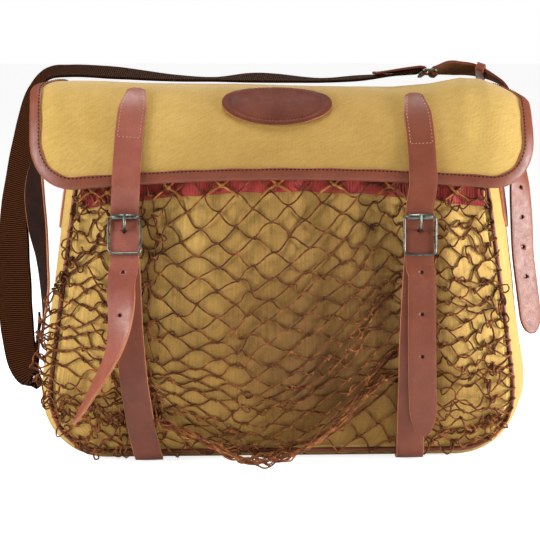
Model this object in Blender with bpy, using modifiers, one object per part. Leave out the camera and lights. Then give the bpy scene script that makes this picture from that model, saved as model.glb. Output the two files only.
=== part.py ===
"""Hunting game bag: canvas body, bound flap, elastic front pocket, net pouch and leather straps.

The scene is in metres with +Z up. Sizes below are in millimetres and MM turns them to metres.
The origin is the centre of the flat bottom, the front of the bag faces -Y and +X is the viewer's right.
"""

import math

import bmesh
import bpy
from mathutils import Matrix, Vector

MM = 0.001

# Thicknesses and clearances
CANVAS = 1.6
STRAP_LEATHER = 2.6
BINDING_LEATHER = 1.2
WEBBING = 2.4
BAND = 1.4
GAP = 0.35

# Body
MOUTH_Z = 318.0
SEAM_Z = 9.0
CORNER_RADIUS = 50.0
PIPING_RADIUS = 2.0
BODY_WIDTHS = ((0, 211), (72, 211), (250, 187), (330, 185))
BODY_HALF_DEPTHS = ((0, 56), (120, 56), (280, 47), (330, 47))
FRONT_BULGE = 5.0
BACK_BULGE = 3.0
# Section of the gusset: place across the depth, and how far it stands out, as shares of the whole
GUSSET_SECTION = ((-1, 0), (-0.84, 0.72), (-0.62, 1), (0.62, 1), (0.84, 0.72), (1, 0))

# Pocket with its elastic hem
POCKET_DEPTH = 15.0
POCKET_INSET = 5.0
BAND_WIDTH = 30.0
BAND_TOP_CENTRE = 276.0
BAND_DROP_AT_ENDS = 16.0
POCKET_FOLD = 1.3

# Net pouch
NET_STRAND = 2.4
NET_CELLS_ACROSS = 8
NET_CELLS_DOWN = 5
NET_SAG = 15.0
NET_CLEARANCE = 3.2

# Flap
FLAP_HALF_WIDTH = 226.0
FLAP_CORNER = 40.0
BINDING_WIDTH = 9.0
BINDING_CLEARANCE = 0.7
# Profile of the flap's middle from the front hem over the crest to the seam at the back: y, z
FLAP_PROFILE = (
    (-73.0, 256), (-71.0, 270), (-66.5, 292), (-58, 313), (-45, 329), (-25, 338), (0, 339.4),
    (16, 338.8), (31, 336.8), (43, 331.5), (49.5, 323), (51, 312), (51, 300), (51, 288),
)
# Height of the crest across the flap: x, z
FLAP_CREST = (
    (-226, 339), (-205, 343), (-165, 343.5), (-60, 340), (65, 338.5), (105, 338), (140, 341),
    (168, 346), (185, 345), (200, 339), (213, 333), (226, 327),
)
# Half width of the flap past the crest, along the profile from the hem: distance, half width
FLAP_NARROWING = ((0, 226), (95, 226), (110, 222), (125, 214), (140, 207), (160, 202), (240, 197))
FLAP_COLUMNS = (0, 9, 20, 36, 60, 96, 146)

# Front closures
STRAP_WIDTH = 25.0
HOLE_RADIUS = 1.5
BUCKLE_WIRE = 1.1
ROLLER_RADIUS = 2.2
BUCKLE_Z = 212.0

# Oval patch
PATCH_CENTRE_X = -5.4
PATCH_WIDTH = 99.0
PATCH_HEIGHT = 44.0
PATCH_THICKNESS = 2.6

# Shoulder strap
WEBBING_WIDTH = 40.0

COLOURS = {
    "canvas": ((0.58, 0.42, 0.13), 0.9, 0.0),
    "leather": ((0.23, 0.06, 0.035), 0.5, 0.0),
    "dark_leather": ((0.05, 0.02, 0.015), 0.4, 0.0),
    "webbing": ((0.035, 0.015, 0.008), 0.9, 0.0),
    "red_elastic": ((0.32, 0.04, 0.04), 0.9, 0.0),
    "twine": ((0.17, 0.05, 0.02), 0.8, 0.0),
    "nickel": ((0.45, 0.46, 0.45), 0.35, 1.0),
}


def clear_scene():
    for old in list(bpy.data.objects):
        bpy.data.objects.remove(old, do_unlink=True)


def new_collection(name):
    collection = bpy.data.collections.new(name)
    bpy.context.scene.collection.children.link(collection)
    return collection


clear_scene()
PARTS = new_collection("hunting_game_bag")
CUTTERS = new_collection("cutters")


def finish_material(piece, kind):
    """Each piece gets a material of its own, in the colour of its kind."""
    colour, roughness, metallic = COLOURS[kind]
    material = bpy.data.materials.new(piece.name)
    material.use_nodes = True
    shader = material.node_tree.nodes["Principled BSDF"]
    shader.inputs["Base Color"].default_value = (*colour, 1.0)
    shader.inputs["Roughness"].default_value = roughness
    shader.inputs["Metallic"].default_value = metallic
    piece.data.materials.clear()
    piece.data.materials.append(material)


def lookup(table, value):
    """Straight interpolation in a table of two columns, held at its ends."""
    if value <= table[0][0]:
        return table[0][1]
    for (low, first), (high, second) in zip(table, table[1:]):
        if value <= high:
            return first + (second - first) * (value - low) / (high - low)
    return table[-1][1]


def smooth_step(low, high, value):
    share = min(1.0, max(0.0, (value - low) / (high - low)))
    return share * share * (3 - 2 * share)


def bell(value, centre, spread):
    return math.exp(-(((value - centre) / spread) ** 2))


class Route:
    """A smooth curve through rows of x, y, z and any further columns, read by distance along it."""

    SAMPLES = 16

    def __init__(self, rows):
        rows = [tuple(float(value) for value in row) for row in rows]
        padded = [self.beyond(rows[0], rows[1]), *rows, self.beyond(rows[-1], rows[-2])]
        self.points = []
        for before, start, end, after in zip(padded, padded[1:], padded[2:], padded[3:]):
            for k in range(self.SAMPLES):
                self.points.append(self.spline(before, start, end, after, k / self.SAMPLES))
        self.points.append(rows[-1])
        self.distances = [0.0]
        for first, second in zip(self.points, self.points[1:]):
            self.distances.append(self.distances[-1] + math.dist(first[:3], second[:3]))
        self.length = self.distances[-1]

    @staticmethod
    def beyond(end, inner):
        return tuple(2 * a - b for a, b in zip(end, inner))

    @staticmethod
    def spline(before, start, end, after, t):
        row = []
        for a, b, c, d in zip(before, start, end, after):
            row.append(b + 0.5 * t * (c - a + t * (2 * a - 5 * b + 4 * c - d + t * (3 * (b - c) + d - a))))
        return tuple(row)

    def at(self, distance):
        distance = min(max(distance, 0.0), self.length)
        for k in range(len(self.points) - 1):
            if self.distances[k + 1] >= distance:
                break
        span = self.distances[k + 1] - self.distances[k]
        share = (distance - self.distances[k]) / span if span else 0.0
        return tuple(a + (b - a) * share for a, b in zip(self.points[k], self.points[k + 1]))

    def tangent(self, distance):
        ahead = Vector(self.at(distance + 0.5)[:3])
        behind = Vector(self.at(distance - 0.5)[:3])
        return (ahead - behind).normalized()


def add_piece(name, mesh, kind):
    piece = bpy.data.objects.new(name, mesh)
    PARTS.objects.link(piece)
    finish_material(piece, kind)
    return piece


def sheet(name, columns, rows, place, thickness, kind):
    """A grid whose points are placed by place(column, row), made a wall of the given thickness."""
    bm = bmesh.new()
    bmesh.ops.create_grid(bm, x_segments=columns, y_segments=rows, size=1)
    for vert in bm.verts:
        column = round((vert.co.x + 1) / 2 * columns)
        row = round((vert.co.y + 1) / 2 * rows)
        vert.co = Vector(place(column, row)) * MM
    mesh = bpy.data.meshes.new(name)
    bm.to_mesh(mesh)
    bm.free()
    mesh.shade_smooth()
    piece = add_piece(name, mesh, kind)
    wall = piece.modifiers.new("wall", "SOLIDIFY")
    wall.thickness = thickness * MM
    wall.offset = 0
    wall.use_even_offset = True
    return piece


def tube(name, points, radius, kind, cyclic=False):
    curve = bpy.data.curves.new(name, "CURVE")
    curve.dimensions = "3D"
    curve.bevel_depth = radius * MM
    curve.bevel_resolution = 2
    curve.use_fill_caps = True
    spline = curve.splines.new("POLY")
    spline.points.add(len(points) - 1)
    for target, point in zip(spline.points, points):
        target.co = (*(Vector(point) * MM), 1.0)
    spline.use_cyclic_u = cyclic
    piece = bpy.data.objects.new(name, curve)
    PARTS.objects.link(piece)
    finish_material(piece, kind)
    return piece


def made_mesh(piece):
    """The same piece as a mesh, for cutting and joining."""
    evaluated = piece.evaluated_get(bpy.context.evaluated_depsgraph_get())
    mesh = bpy.data.meshes.new_from_object(evaluated)
    bm = bmesh.new()
    bm.from_mesh(mesh)
    bmesh.ops.remove_doubles(bm, verts=bm.verts, dist=0.00001)
    bm.to_mesh(mesh)
    bm.free()
    name = piece.name
    material = piece.data.materials[0]
    placed = piece.matrix_world.copy()
    bpy.data.objects.remove(piece, do_unlink=True)
    whole = bpy.data.objects.new(name, mesh)
    whole.matrix_world = placed
    mesh.materials.clear()
    mesh.materials.append(material)
    PARTS.objects.link(whole)
    return whole


def as_cutter(piece):
    for collection in list(piece.users_collection):
        collection.objects.unlink(piece)
    CUTTERS.objects.link(piece)
    piece.hide_render = True
    piece.display_type = "WIRE"


def boolean(piece, other, operation):
    step = piece.modifiers.new(operation.lower(), "BOOLEAN")
    step.operation = operation
    step.object = other
    step.solver = "EXACT"
    as_cutter(other)


def peg(name, centre, direction, radius, depth, sides=10):
    """A round cutter through a strap."""
    mesh = bpy.data.meshes.new(name)
    bm = bmesh.new()
    bmesh.ops.create_cone(
        bm, cap_ends=True, segments=sides, radius1=radius * MM, radius2=radius * MM, depth=depth * MM
    )
    bm.to_mesh(mesh)
    bm.free()
    piece = bpy.data.objects.new(name, mesh)
    turned = direction.to_track_quat("Z", "Y").to_matrix().to_4x4()
    piece.matrix_world = Matrix.Translation(Vector(centre) * MM) @ turned
    PARTS.objects.link(piece)
    return piece


# Body: two panels, a gusset round three sides, and piping in both seams

STRAIGHT_ROWS = (90, 130, 170, 210, 250, 284, MOUTH_Z)
CORNER_STEPS = 5
BOTTOM_STEPS = 3
PANEL_EDGE = PIPING_RADIUS + GAP
GUSSET_BULGE = SEAM_Z - CANVAS / 2
PANEL_COLUMNS = 10


def seam_half(z):
    """Half width of the body at a height, round its bottom corners."""
    half = lookup(BODY_WIDTHS, z)
    short = CORNER_RADIUS - (z - SEAM_Z)
    if short <= 0:
        return half
    return half - CORNER_RADIUS + math.sqrt(max(0.0, CORNER_RADIUS**2 - short**2))


def corner_rows(inset, steps=CORNER_STEPS):
    """Rows of a rounded bottom corner from the bottom up: z, half width."""
    rows = []
    for step in range(steps + 1):
        angle = math.pi / 2 * step / steps
        radius = CORNER_RADIUS - inset
        z = SEAM_Z + inset + radius * (1 - math.cos(angle))
        rows.append((z, lookup(BODY_WIDTHS, z) - inset - radius * (1 - math.sin(angle))))
    return rows


def body_rows(inset=0.0):
    """Rows of the body's outline moved inward by inset, from the bottom up: z, half width."""
    return corner_rows(inset) + [(z, lookup(BODY_WIDTHS, z) - inset) for z in STRAIGHT_ROWS]


def around(rows, steps):
    """Rows of an outline as one line: down the left side, along the bottom and up the right side."""
    left = [(-half, height) for height, half in reversed(rows)]
    right = [(half, height) for height, half in rows]
    height, half = rows[0]
    middle = [(-half + 2 * half * step / steps, height) for step in range(1, steps)]
    return left + middle + right


def front_y(x, z):
    """Middle of the front panel's wall."""
    across = max(0.0, 1 - (x / seam_half(z)) ** 4)
    up = math.sin(math.pi * min(1.0, max(0.0, (z - SEAM_Z) / (MOUTH_Z - SEAM_Z))))
    return -lookup(BODY_HALF_DEPTHS, z) - FRONT_BULGE * across * up


def back_y(x, z):
    """Middle of the back panel's wall, flat from the flap's seam up."""
    across = max(0.0, 1 - (x / seam_half(z)) ** 4)
    up = math.sin(math.pi * min(1.0, max(0.0, (z - SEAM_Z) / (BODY_HALF_DEPTHS[2][0] - SEAM_Z))))
    return lookup(BODY_HALF_DEPTHS, z) + BACK_BULGE * across * up


def body_panel(name, depth_at):
    rows = body_rows(PANEL_EDGE)

    def place(column, row):
        z, half = rows[row]
        x = half * (2 * column / PANEL_COLUMNS - 1)
        return x, depth_at(x, z), z

    sheet(name, PANEL_COLUMNS, len(rows) - 1, place, CANVAS, "canvas")


def gusset():
    seam = around(body_rows(), BOTTOM_STEPS)
    rings = [around(body_rows(-GUSSET_BULGE * out), BOTTOM_STEPS) for _, out in GUSSET_SECTION]

    def place(column, row):
        across = GUSSET_SECTION[column][0]
        x, z = rings[column][row]
        depth = lookup(BODY_HALF_DEPTHS, seam[row][1]) - PANEL_EDGE
        return x, across * depth, z

    sheet("gusset", len(GUSSET_SECTION) - 1, len(seam) - 1, place, CANVAS, "canvas")


def piping(name, side):
    points = [(x, side * lookup(BODY_HALF_DEPTHS, z), z) for x, z in around(body_rows(), BOTTOM_STEPS)]
    tube(name, points, PIPING_RADIUS, "leather")


# Front pocket and its elastic hem

POCKET_COLUMNS = 22
POCKET_ROWS_ABOVE = (0.2, 0.4, 0.58, 0.74, 0.88, 1.0)
POCKET_LAYER = CANVAS + GAP
FOLD_LENGTH = 46.0
STRAP_X = {"left": -143.0, "right": 119.0}
STRAP_PRESS = 0.4
STRAP_PRESS_SPREAD = 24.0


def band_top(x):
    return BAND_TOP_CENTRE - BAND_DROP_AT_ENDS * (x / BODY_WIDTHS[2][1]) ** 2


def pocket_half(z):
    return seam_half(z) - POCKET_INSET


def pocket_y(x, z):
    """Middle of the pocket's wall: full between the straps, drawn in by the hem and by the straps."""
    across = max(0.0, 1 - (x / pocket_half(z)) ** 4)
    up = smooth_step(SEAM_Z + POCKET_INSET, 100, z) * (1 - 0.5 * smooth_step(170, 250, z))
    press = 1 - STRAP_PRESS * sum(bell(x, centre, STRAP_PRESS_SPREAD) for centre in STRAP_X.values())
    fold = POCKET_FOLD * math.sin(2 * math.pi * x / FOLD_LENGTH) * smooth_step(110, 230, z)
    return front_y(x, z) - POCKET_LAYER - across * (POCKET_DEPTH * up * press + abs(POCKET_FOLD) * up + fold * up)


def pocket_panel():
    low_rows = corner_rows(POCKET_INSET, 4)

    def place(column, row):
        share = 2 * column / POCKET_COLUMNS - 1
        if row < len(low_rows):
            z, half = low_rows[row]
        else:
            bottom = low_rows[-1][0]
            z = bottom + (BAND_TOP_CENTRE - 2 - bottom) * POCKET_ROWS_ABOVE[row - len(low_rows)]
            half = pocket_half(z)
            drop = (band_top(share * half) - BAND_TOP_CENTRE) * (z - bottom) / (BAND_TOP_CENTRE - bottom)
            z += drop
        return share * half, pocket_y(share * half, z), z

    rows = len(low_rows) + len(POCKET_ROWS_ABOVE) - 1
    sheet("pocket_panel", POCKET_COLUMNS, rows, place, CANVAS, "canvas")


def pocket_band():
    def place(column, row):
        share = 2 * column / POCKET_COLUMNS - 1
        x = share * pocket_half(BAND_TOP_CENTRE - BAND_WIDTH)
        z = band_top(x) - BAND_WIDTH * (1 - row / 2)
        return x, pocket_y(x, z) - (CANVAS + BAND) / 2 - GAP, z

    sheet("pocket_band", POCKET_COLUMNS, 2, place, BAND, "red_elastic")


# Net pouch: a lattice of diamonds over the pocket, held at its top by a cord under the flap

NET_ON_POCKET = CANVAS / 2 + NET_STRAND / 2 + NET_CLEARANCE
NET_ON_BAND = NET_ON_POCKET + GAP + BAND
CORD_RADIUS = 1.3
CORD_STEPS = 16
SAG_CENTRE_X = -4.0
SAG_SPREAD = 60.0


def net_y(x, z):
    """Middle of the net over the pocket and its hem, sagging forward between the straps."""
    on_band = smooth_step(218, 232, z)
    lift = NET_ON_POCKET + (NET_ON_BAND - NET_ON_POCKET) * on_band
    free = bell(x, SAG_CENTRE_X, SAG_SPREAD)
    sag = NET_SAG * free * math.exp(-max(0.0, z) / 60)
    return pocket_y(x, z) - lift - sag


def net():
    bm = bmesh.new()
    bmesh.ops.create_grid(bm, x_segments=NET_CELLS_ACROSS, y_segments=NET_CELLS_DOWN, size=1)
    square_sides = [edge for edge in bm.edges if len(edge.link_faces) == 2]
    bmesh.ops.poke(bm, faces=bm.faces[:])
    bmesh.ops.dissolve_edges(bm, edges=square_sides, use_verts=False)
    for vert in bm.verts:
        across, up = vert.co.x, (vert.co.y + 1) / 2
        low = 13 - 10 * bell(across * seam_half(60), SAG_CENTRE_X, SAG_SPREAD)
        top = band_top(across * pocket_half(BAND_TOP_CENTRE)) + 1
        z = low + (top - low) * up
        x = across * (seam_half(z) - 3)
        vert.co = Vector((x, net_y(x, z), z)) * MM
    mesh = bpy.data.meshes.new("net")
    bm.to_mesh(mesh)
    bm.free()
    piece = add_piece("net", mesh, "twine")
    strands = piece.modifiers.new("strands", "WIREFRAME")
    strands.thickness = NET_STRAND * MM
    strands.use_even_offset = False
    strands.use_boundary = True
    strands.use_replace = True


def net_head_cord():
    """A cord through the top meshes, along the upper edge of the hem."""
    points = []
    for step in range(CORD_STEPS + 1):
        x = pocket_half(BAND_TOP_CENTRE) * 0.97 * (2 * step / CORD_STEPS - 1)
        z = band_top(x) + GAP + CORD_RADIUS
        points.append((x, pocket_y(x, z) - (CANVAS + BAND) / 2 - GAP, z))
    tube("net_head_cord", points, CORD_RADIUS, "twine")


# Flap with its leather binding and oval patch

PROFILE = Route([(0, y, z) for y, z in FLAP_PROFILE])
FLAP_ROWS_ABOVE = (51, 61, 70, 79, 88, 99, 114, 132, 147, 157, 165, 173, 184, PROFILE.length)
CREST_Z = 339.4
HEM_RISE_CENTRE = 3.0
HEM_DROP_AT_SIDES = 9.0
CUP_START = 178.0
CUP_DEPTH = 14.0
HEM_STEPS = 8


def flap_base(x, along):
    """Middle of the flap's wall, at a distance along its profile from the hem."""
    _, y, z = PROFILE.at(along)
    z += smooth_step(290, 336, z) * (lookup(FLAP_CREST, x) - CREST_Z)
    z += (1 - smooth_step(0, 70, along)) * (HEM_RISE_CENTRE - HEM_DROP_AT_SIDES * (x / 200) ** 2)
    cup = CUP_DEPTH * (max(0.0, abs(x) - CUP_START) / (FLAP_HALF_WIDTH - CUP_START)) ** 2
    y += cup * (1 - smooth_step(60, 110, along))
    return Vector((x, y, z))


def flap_point(x, along, lift):
    """A point over the flap: lift is its distance outward from the middle of the canvas."""
    across = flap_base(x + 1, along) - flap_base(x - 1, along)
    up = flap_base(x, min(along + 1, PROFILE.length)) - flap_base(x, max(along - 1, 0))
    return flap_base(x, along) + across.cross(up).normalized() * lift


def flap_rows():
    """Rows of the flap from its hem: distance along the profile, half width."""
    rows = []
    for step in range(CORNER_STEPS + 1):
        angle = math.pi / 2 * step / CORNER_STEPS
        rows.append((FLAP_CORNER * (1 - math.cos(angle)), FLAP_HALF_WIDTH - FLAP_CORNER * (1 - math.sin(angle))))
    return rows + [(along, lookup(FLAP_NARROWING, along)) for along in FLAP_ROWS_ABOVE]


def flap():
    rows = flap_rows()
    from_edge = [distance / FLAP_HALF_WIDTH for distance in FLAP_COLUMNS]
    shares = [share - 1 for share in from_edge] + [0] + [1 - share for share in reversed(from_edge)]

    def place(column, row):
        along, half = rows[row]
        return flap_base(shares[column] * half, along)

    sheet("flap", len(shares) - 1, len(rows) - 1, place, CANVAS, "canvas")


def flap_binding():
    edge = around(flap_rows(), HEM_STEPS)
    face = CANVAS / 2 + BINDING_CLEARANCE + BINDING_LEATHER / 2
    # Section of the folded leather: distance in from the canvas edge, distance off its middle
    section = ((BINDING_WIDTH, face), (-0.6, face), (-1.5, 0), (-0.6, -face), (BINDING_WIDTH, -face))

    def inward(row):
        first = Vector(edge[max(row - 1, 0)])
        last = Vector(edge[min(row + 1, len(edge) - 1)])
        run = (last - first).normalized()
        return Vector((-run.y, run.x))

    def place(column, row):
        depth, off = section[column]
        x, along = Vector(edge[row]) + inward(row) * depth
        if along < 0:
            return flap_point(x, 0, off) + (flap_base(x, 0) - flap_base(x, 1)) * -along
        return flap_point(x, min(along, PROFILE.length), off)

    sheet("flap_binding", len(section) - 1, len(edge) - 1, place, BINDING_LEATHER, "leather")


PATCH_CENTRE_ALONG = 72.0
PATCH_STEPS = 8


def oval_patch():
    """A square grid drawn out to an ellipse, laid on the flap."""

    def place(column, row):
        across = 2 * column / PATCH_STEPS - 1
        up = 2 * row / PATCH_STEPS - 1
        x = PATCH_CENTRE_X + PATCH_WIDTH / 2 * across * math.sqrt(1 - up**2 / 2)
        along = PATCH_CENTRE_ALONG + PATCH_HEIGHT / 2 * up * math.sqrt(1 - across**2 / 2)
        return flap_point(x, along, CANVAS / 2 + BINDING_CLEARANCE + PATCH_THICKNESS / 2)

    sheet("oval_patch", PATCH_STEPS, PATCH_STEPS, place, PATCH_THICKNESS, "leather")


# Leather straps: each is a run of cross lines, a function of the distance from its middle line


def ribbon(name, lines, half_widths, thickness, kind, columns=1):
    """A strap through cross lines; each gives the point at a distance across from its middle."""

    def place(column, row):
        across = half_widths[row] * (2 * column / columns - 1)
        return lines[row](across)

    return sheet(name, columns, len(lines) - 1, place, thickness, kind)


def free_line(point, direction):
    point = Vector(point)
    direction = Vector(direction).normalized()
    return lambda across: point + direction * across


def tip_widths(distances, half_width, tip_length, end):
    """Half widths that round off toward the end of a strap."""
    widths = []
    for distance in distances:
        left = end - distance
        share = min(1.0, max(0.0, left / tip_length))
        widths.append(half_width * max(0.28, math.sqrt(1 - (1 - share) ** 2)))
    return widths


class Buckle:
    """Local frame of a buckle or other strap fitting: across the strap, up along it, out from the bag."""

    def __init__(self, side, centre, up, out):
        self.side = side
        self.centre = Vector(centre)
        self.up = Vector(up).normalized()
        self.out = Vector(out).normalized()
        self.across = self.up.cross(self.out)

    def point(self, across, up, out):
        return self.centre + self.across * across + self.up * up + self.out * out


ROLLER_UP = 12.5
ROLLER_LENGTH = 22.0
FRAME_CORNER = 2.2
WIRE_DOWN = -21.5
SIDE_ACROSS = STRAP_WIDTH / 2 + 0.6 + BUCKLE_WIRE
ROLLER_OUT = STRAP_LEATHER / 2 + GAP + ROLLER_RADIUS
WIRE_OUT = STRAP_LEATHER / 2 + GAP + BUCKLE_WIRE
LAP_RADIUS = BUCKLE_WIRE + GAP + STRAP_LEATHER / 2
BAR_OUT = -(STRAP_LEATHER * 1.5 + 2 * GAP + BUCKLE_WIRE)
BUCKLE_ROOM = 1.0
STRAP_ON_NET = 1.5
LAP_LENGTH = 9.0
PRONG_RADIUS = 1.0
PRONG_SLOT = 5.0
FOLD_STEPS = 6
HOLE_DEPTH = 8.0


def front_buckle(side):
    """A front buckle lies on its bottom strap, its lower end tilted away from the bag."""
    tilt = math.radians(BUCKLE_TILT[side])
    x = BOTTOM_STRAP_PATH[side][-1][1]
    y = strap_back_y(x, BUCKLE_Z) + BAR_OUT - LAP_RADIUS - BUCKLE_ROOM
    up = (0, math.sin(tilt), math.cos(tilt))
    out = (0, -math.cos(tilt), math.sin(tilt))
    return Buckle(side, (x, y, BUCKLE_Z), up, out)


def strap_back_y(x, z):
    """Middle of a flat strap laid on the net, clear of it over the strap's whole width."""
    furthest = min(net_y(x + across, z) for across in (-STRAP_WIDTH / 2, 0, STRAP_WIDTH / 2))
    return furthest - NET_STRAND / 2 - STRAP_LEATHER / 2 - STRAP_ON_NET


# Middle of each bottom strap, up the front: height, x
BOTTOM_STRAP_PATH = {
    "left": ((0, -121), (27, -128), (72, -135), (115, -139), (BUCKLE_Z, -143)),
    "right": ((0, 115.5), (110, 115.5), (BUCKLE_Z, 121)),
}
# End of each bottom strap, round the lower seam: y, z
STRAP_FOOT = ((-50.5, 4.3), (-55.5, 3.0), (-62, 3.6), (-66.6, 8), (-68.2, 15))
BOTTOM_STRAP_HEIGHTS = (32, 52, 75, 100, 125, 150, 172)
BUCKLE_TILT = {"left": 26.0, "right": 4.0}


def round_the_bar(buckle, approach, lap):
    """Centres of a strap that comes up behind the buckle's bar, folds over it and ends below it."""
    centres = [tuple(buckle.point(0, up, BAR_OUT - LAP_RADIUS)) for up in approach]
    for step in range(1, FOLD_STEPS + 1):
        turn = math.pi * step / FOLD_STEPS
        centres.append(tuple(buckle.point(0, LAP_RADIUS * math.sin(turn), BAR_OUT - LAP_RADIUS * math.cos(turn))))
    centres.append(tuple(buckle.point(0, -lap, BAR_OUT + LAP_RADIUS)))
    return centres


def prong_slot(buckle):
    """Cutter for the slot that the prong comes through, where the strap folds over the bar."""
    centre = buckle.point(0, 0, BAR_OUT + LAP_RADIUS)
    return peg(f"prong_slot_{buckle.side}", centre, buckle.out, PRONG_SLOT / 2, STRAP_LEATHER * 2)


def bottom_strap(side, buckle):
    path = BOTTOM_STRAP_PATH[side]
    centres = [(lookup(path, z), y, z) for y, z in STRAP_FOOT]
    for z in BOTTOM_STRAP_HEIGHTS:
        x = lookup(path, z)
        centres.append((x, strap_back_y(x, z), z))
    centres += round_the_bar(buckle, (-14, -7, 0), LAP_LENGTH)
    lines = [free_line(centre, (1, 0, 0)) for centre in centres]
    strap = ribbon(
        f"bottom_strap_{side}", lines, [STRAP_WIDTH / 2] * len(lines), STRAP_LEATHER, "leather"
    )
    boolean(strap, prong_slot(buckle), "DIFFERENCE")


def buckle_frame(buckle):
    loop = []
    for across, up, out in (
        (-SIDE_ACROSS, ROLLER_UP, ROLLER_OUT), (SIDE_ACROSS, ROLLER_UP, ROLLER_OUT),
        (SIDE_ACROSS, WIRE_DOWN, WIRE_OUT), (-SIDE_ACROSS, WIRE_DOWN, WIRE_OUT),
    ):
        inward_across = -math.copysign(FRAME_CORNER, across)
        inward_up = -math.copysign(FRAME_CORNER, up)
        turn = ((across, up + inward_up, out), (across + inward_across, up, out))
        starts_up_a_side = (across < 0) == (up > 0)
        loop += turn if starts_up_a_side else turn[::-1]
    frame = made_mesh(tube(
        f"buckle_frame_{buckle.side}", [buckle.point(*row) for row in loop], BUCKLE_WIRE, "nickel", cyclic=True
    ))
    side_out = WIRE_OUT + (ROLLER_OUT - WIRE_OUT) * -WIRE_DOWN / (ROLLER_UP - WIRE_DOWN)
    bar_rows = [
        (-SIDE_ACROSS, 0, side_out), (-SIDE_ACROSS, 0, BAR_OUT + 0.8), (-SIDE_ACROSS + 0.8, 0, BAR_OUT),
        (SIDE_ACROSS - 0.8, 0, BAR_OUT), (SIDE_ACROSS, 0, BAR_OUT + 0.8), (SIDE_ACROSS, 0, side_out),
    ]
    bar = made_mesh(tube(
        f"bar_{buckle.side}", [buckle.point(*row) for row in bar_rows], BUCKLE_WIRE, "nickel"
    ))
    boolean(frame, bar, "UNION")


def buckle_roller(buckle):
    """A sleeve round the top wire of the frame."""
    centre = buckle.point(0, ROLLER_UP, ROLLER_OUT)
    roller = peg(f"buckle_roller_{buckle.side}", centre, buckle.across, ROLLER_RADIUS, ROLLER_LENGTH, 12)
    finish_material(roller, "nickel")
    bore = peg(f"roller_bore_{buckle.side}", centre, buckle.across, BUCKLE_WIRE + GAP, ROLLER_LENGTH + 4, 12)
    boolean(roller, bore, "DIFFERENCE")


def buckle_prong(buckle):
    """The prong rises from the bar through the strap and rests on the roller."""
    start = BAR_OUT + BUCKLE_WIRE + GAP + PRONG_RADIUS
    rest = ROLLER_OUT + ROLLER_RADIUS + GAP + PRONG_RADIUS
    rows = [(0, 0, start), (0, 0.2, 1.5), (0, 2.5, rest - 2.2), (0, 7, rest), (0, ROLLER_UP, rest), (0, 14.5, rest)]
    tube(f"buckle_prong_{buckle.side}", [buckle.point(*row) for row in rows], PRONG_RADIUS, "nickel")


# Flap straps, on the flap: distance along the profile from the top end to the hem, x
ON_FLAP = {
    "left": ((92, -130.5), (84, -131.5), (75, -133), (66, -135), (55, -137), (43, -138.5), (30, -139.5),
             (17, -140.5), (8, -141), (0, -141.5)),
    "right": ((88, 118.5), (80, 119), (71, 120), (62, 121), (51, 122), (40, 123), (29, 123.5), (17, 124),
              (8, 124.5), (0, 124.5)),
}
# Free end of each flap strap below its buckle: z, x, distance in front of the bottom strap, twist in degrees
FREE_END = {
    "left": ((168, -146, 22, 0), (148, -147, 22, 4), (128, -149, 22, 14), (108, -153, 21, 32),
             (90, -161, 20, 54), (72, -172, 18, 70), (56, -182, 16, 78), (40, -191.5, 14, 80)),
    "right": ((172, 123, 8, 0), (150, 123, 7, 0), (125, 123, 7, 0), (100, 123.3, 7, 0), (75, 124, 7, 0),
              (50, 125.5, 7, 0), (24, 126.5, 8, 0)),
}
# Holes below the buckle's own, at an even spacing
HOLE_SPACING = 38.0
HOLE_COUNT = {"left": 2, "right": 3}
ON_CANVAS = CANVAS / 2 + STRAP_LEATHER / 2 + 0.8
ON_BINDING = ON_CANVAS + BINDING_CLEARANCE + BINDING_LEATHER + 0.3
TOP_TIP = 24.0
TOP_SHARE = 0.56
END_TIP = 20.0
FREE_STEPS = 21


def flap_strap(side, buckle):
    lines = []
    widths = []
    first_along = ON_FLAP[side][0][0]
    for along, x in ON_FLAP[side]:
        lift = ON_CANVAS + (ON_BINDING - ON_CANVAS) * (1 - smooth_step(BINDING_WIDTH + 2, 30, along))
        lines.append(lambda across, x=x, along=along, lift=lift: flap_point(x + across, along, lift))
        widths.append(STRAP_WIDTH / 2 * min(1.0, TOP_SHARE + (1 - TOP_SHARE) * (first_along - along) / TOP_TIP))
    hem = flap_point(ON_FLAP[side][-1][1], 0, ON_BINDING)
    rows = [(*hem, 0), (hem.x, hem.y, hem.z - 5, 0)]
    rows += [(*buckle.point(0, up, 0), 0) for up in (ROLLER_UP + 6, ROLLER_UP, 0, WIRE_DOWN, -32)]
    for z, x, ahead, twist in FREE_END[side]:
        strap_x = lookup(BOTTOM_STRAP_PATH[side], z)
        rows.append((x, strap_back_y(strap_x, z) - ahead, z, twist))
    route = Route(rows)
    distances = [route.length * step / FREE_STEPS for step in range(1, FREE_STEPS + 1)]
    distances += [route.length - 2.5, route.length - 6]
    distances.sort()
    lines += [strap_line(route, distance) for distance in distances]
    widths += tip_widths(distances, STRAP_WIDTH / 2, END_TIP, route.length)
    strap = ribbon(f"flap_strap_{side}", lines, widths, STRAP_LEATHER, "leather")
    prong_hole = peg(f"prong_hole_{side}", buckle.centre, buckle.out, PRONG_RADIUS + GAP, HOLE_DEPTH)
    boolean(strap, prong_hole, "DIFFERENCE")
    at_buckle = min(
        (math.dist(route.at(distance)[:3], buckle.centre), distance) for distance in range(int(route.length))
    )[1]
    for count in range(1, HOLE_COUNT[side] + 1):
        distance = at_buckle + HOLE_SPACING * count
        out = strap_across(route, distance).cross(route.tangent(distance))
        hole = peg(f"hole_{side}_{count}", route.at(distance)[:3], out, HOLE_RADIUS, HOLE_DEPTH)
        boolean(strap, hole, "DIFFERENCE")


def strap_across(route, distance):
    """Direction across a free strap: along X, turned about the run of the strap by its twist."""
    along = route.tangent(distance)
    across = Vector((1, 0, 0))
    across = (across - along * across.dot(along)).normalized()
    across.rotate(Matrix.Rotation(math.radians(route.at(distance)[3]), 3, along))
    return across


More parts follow.
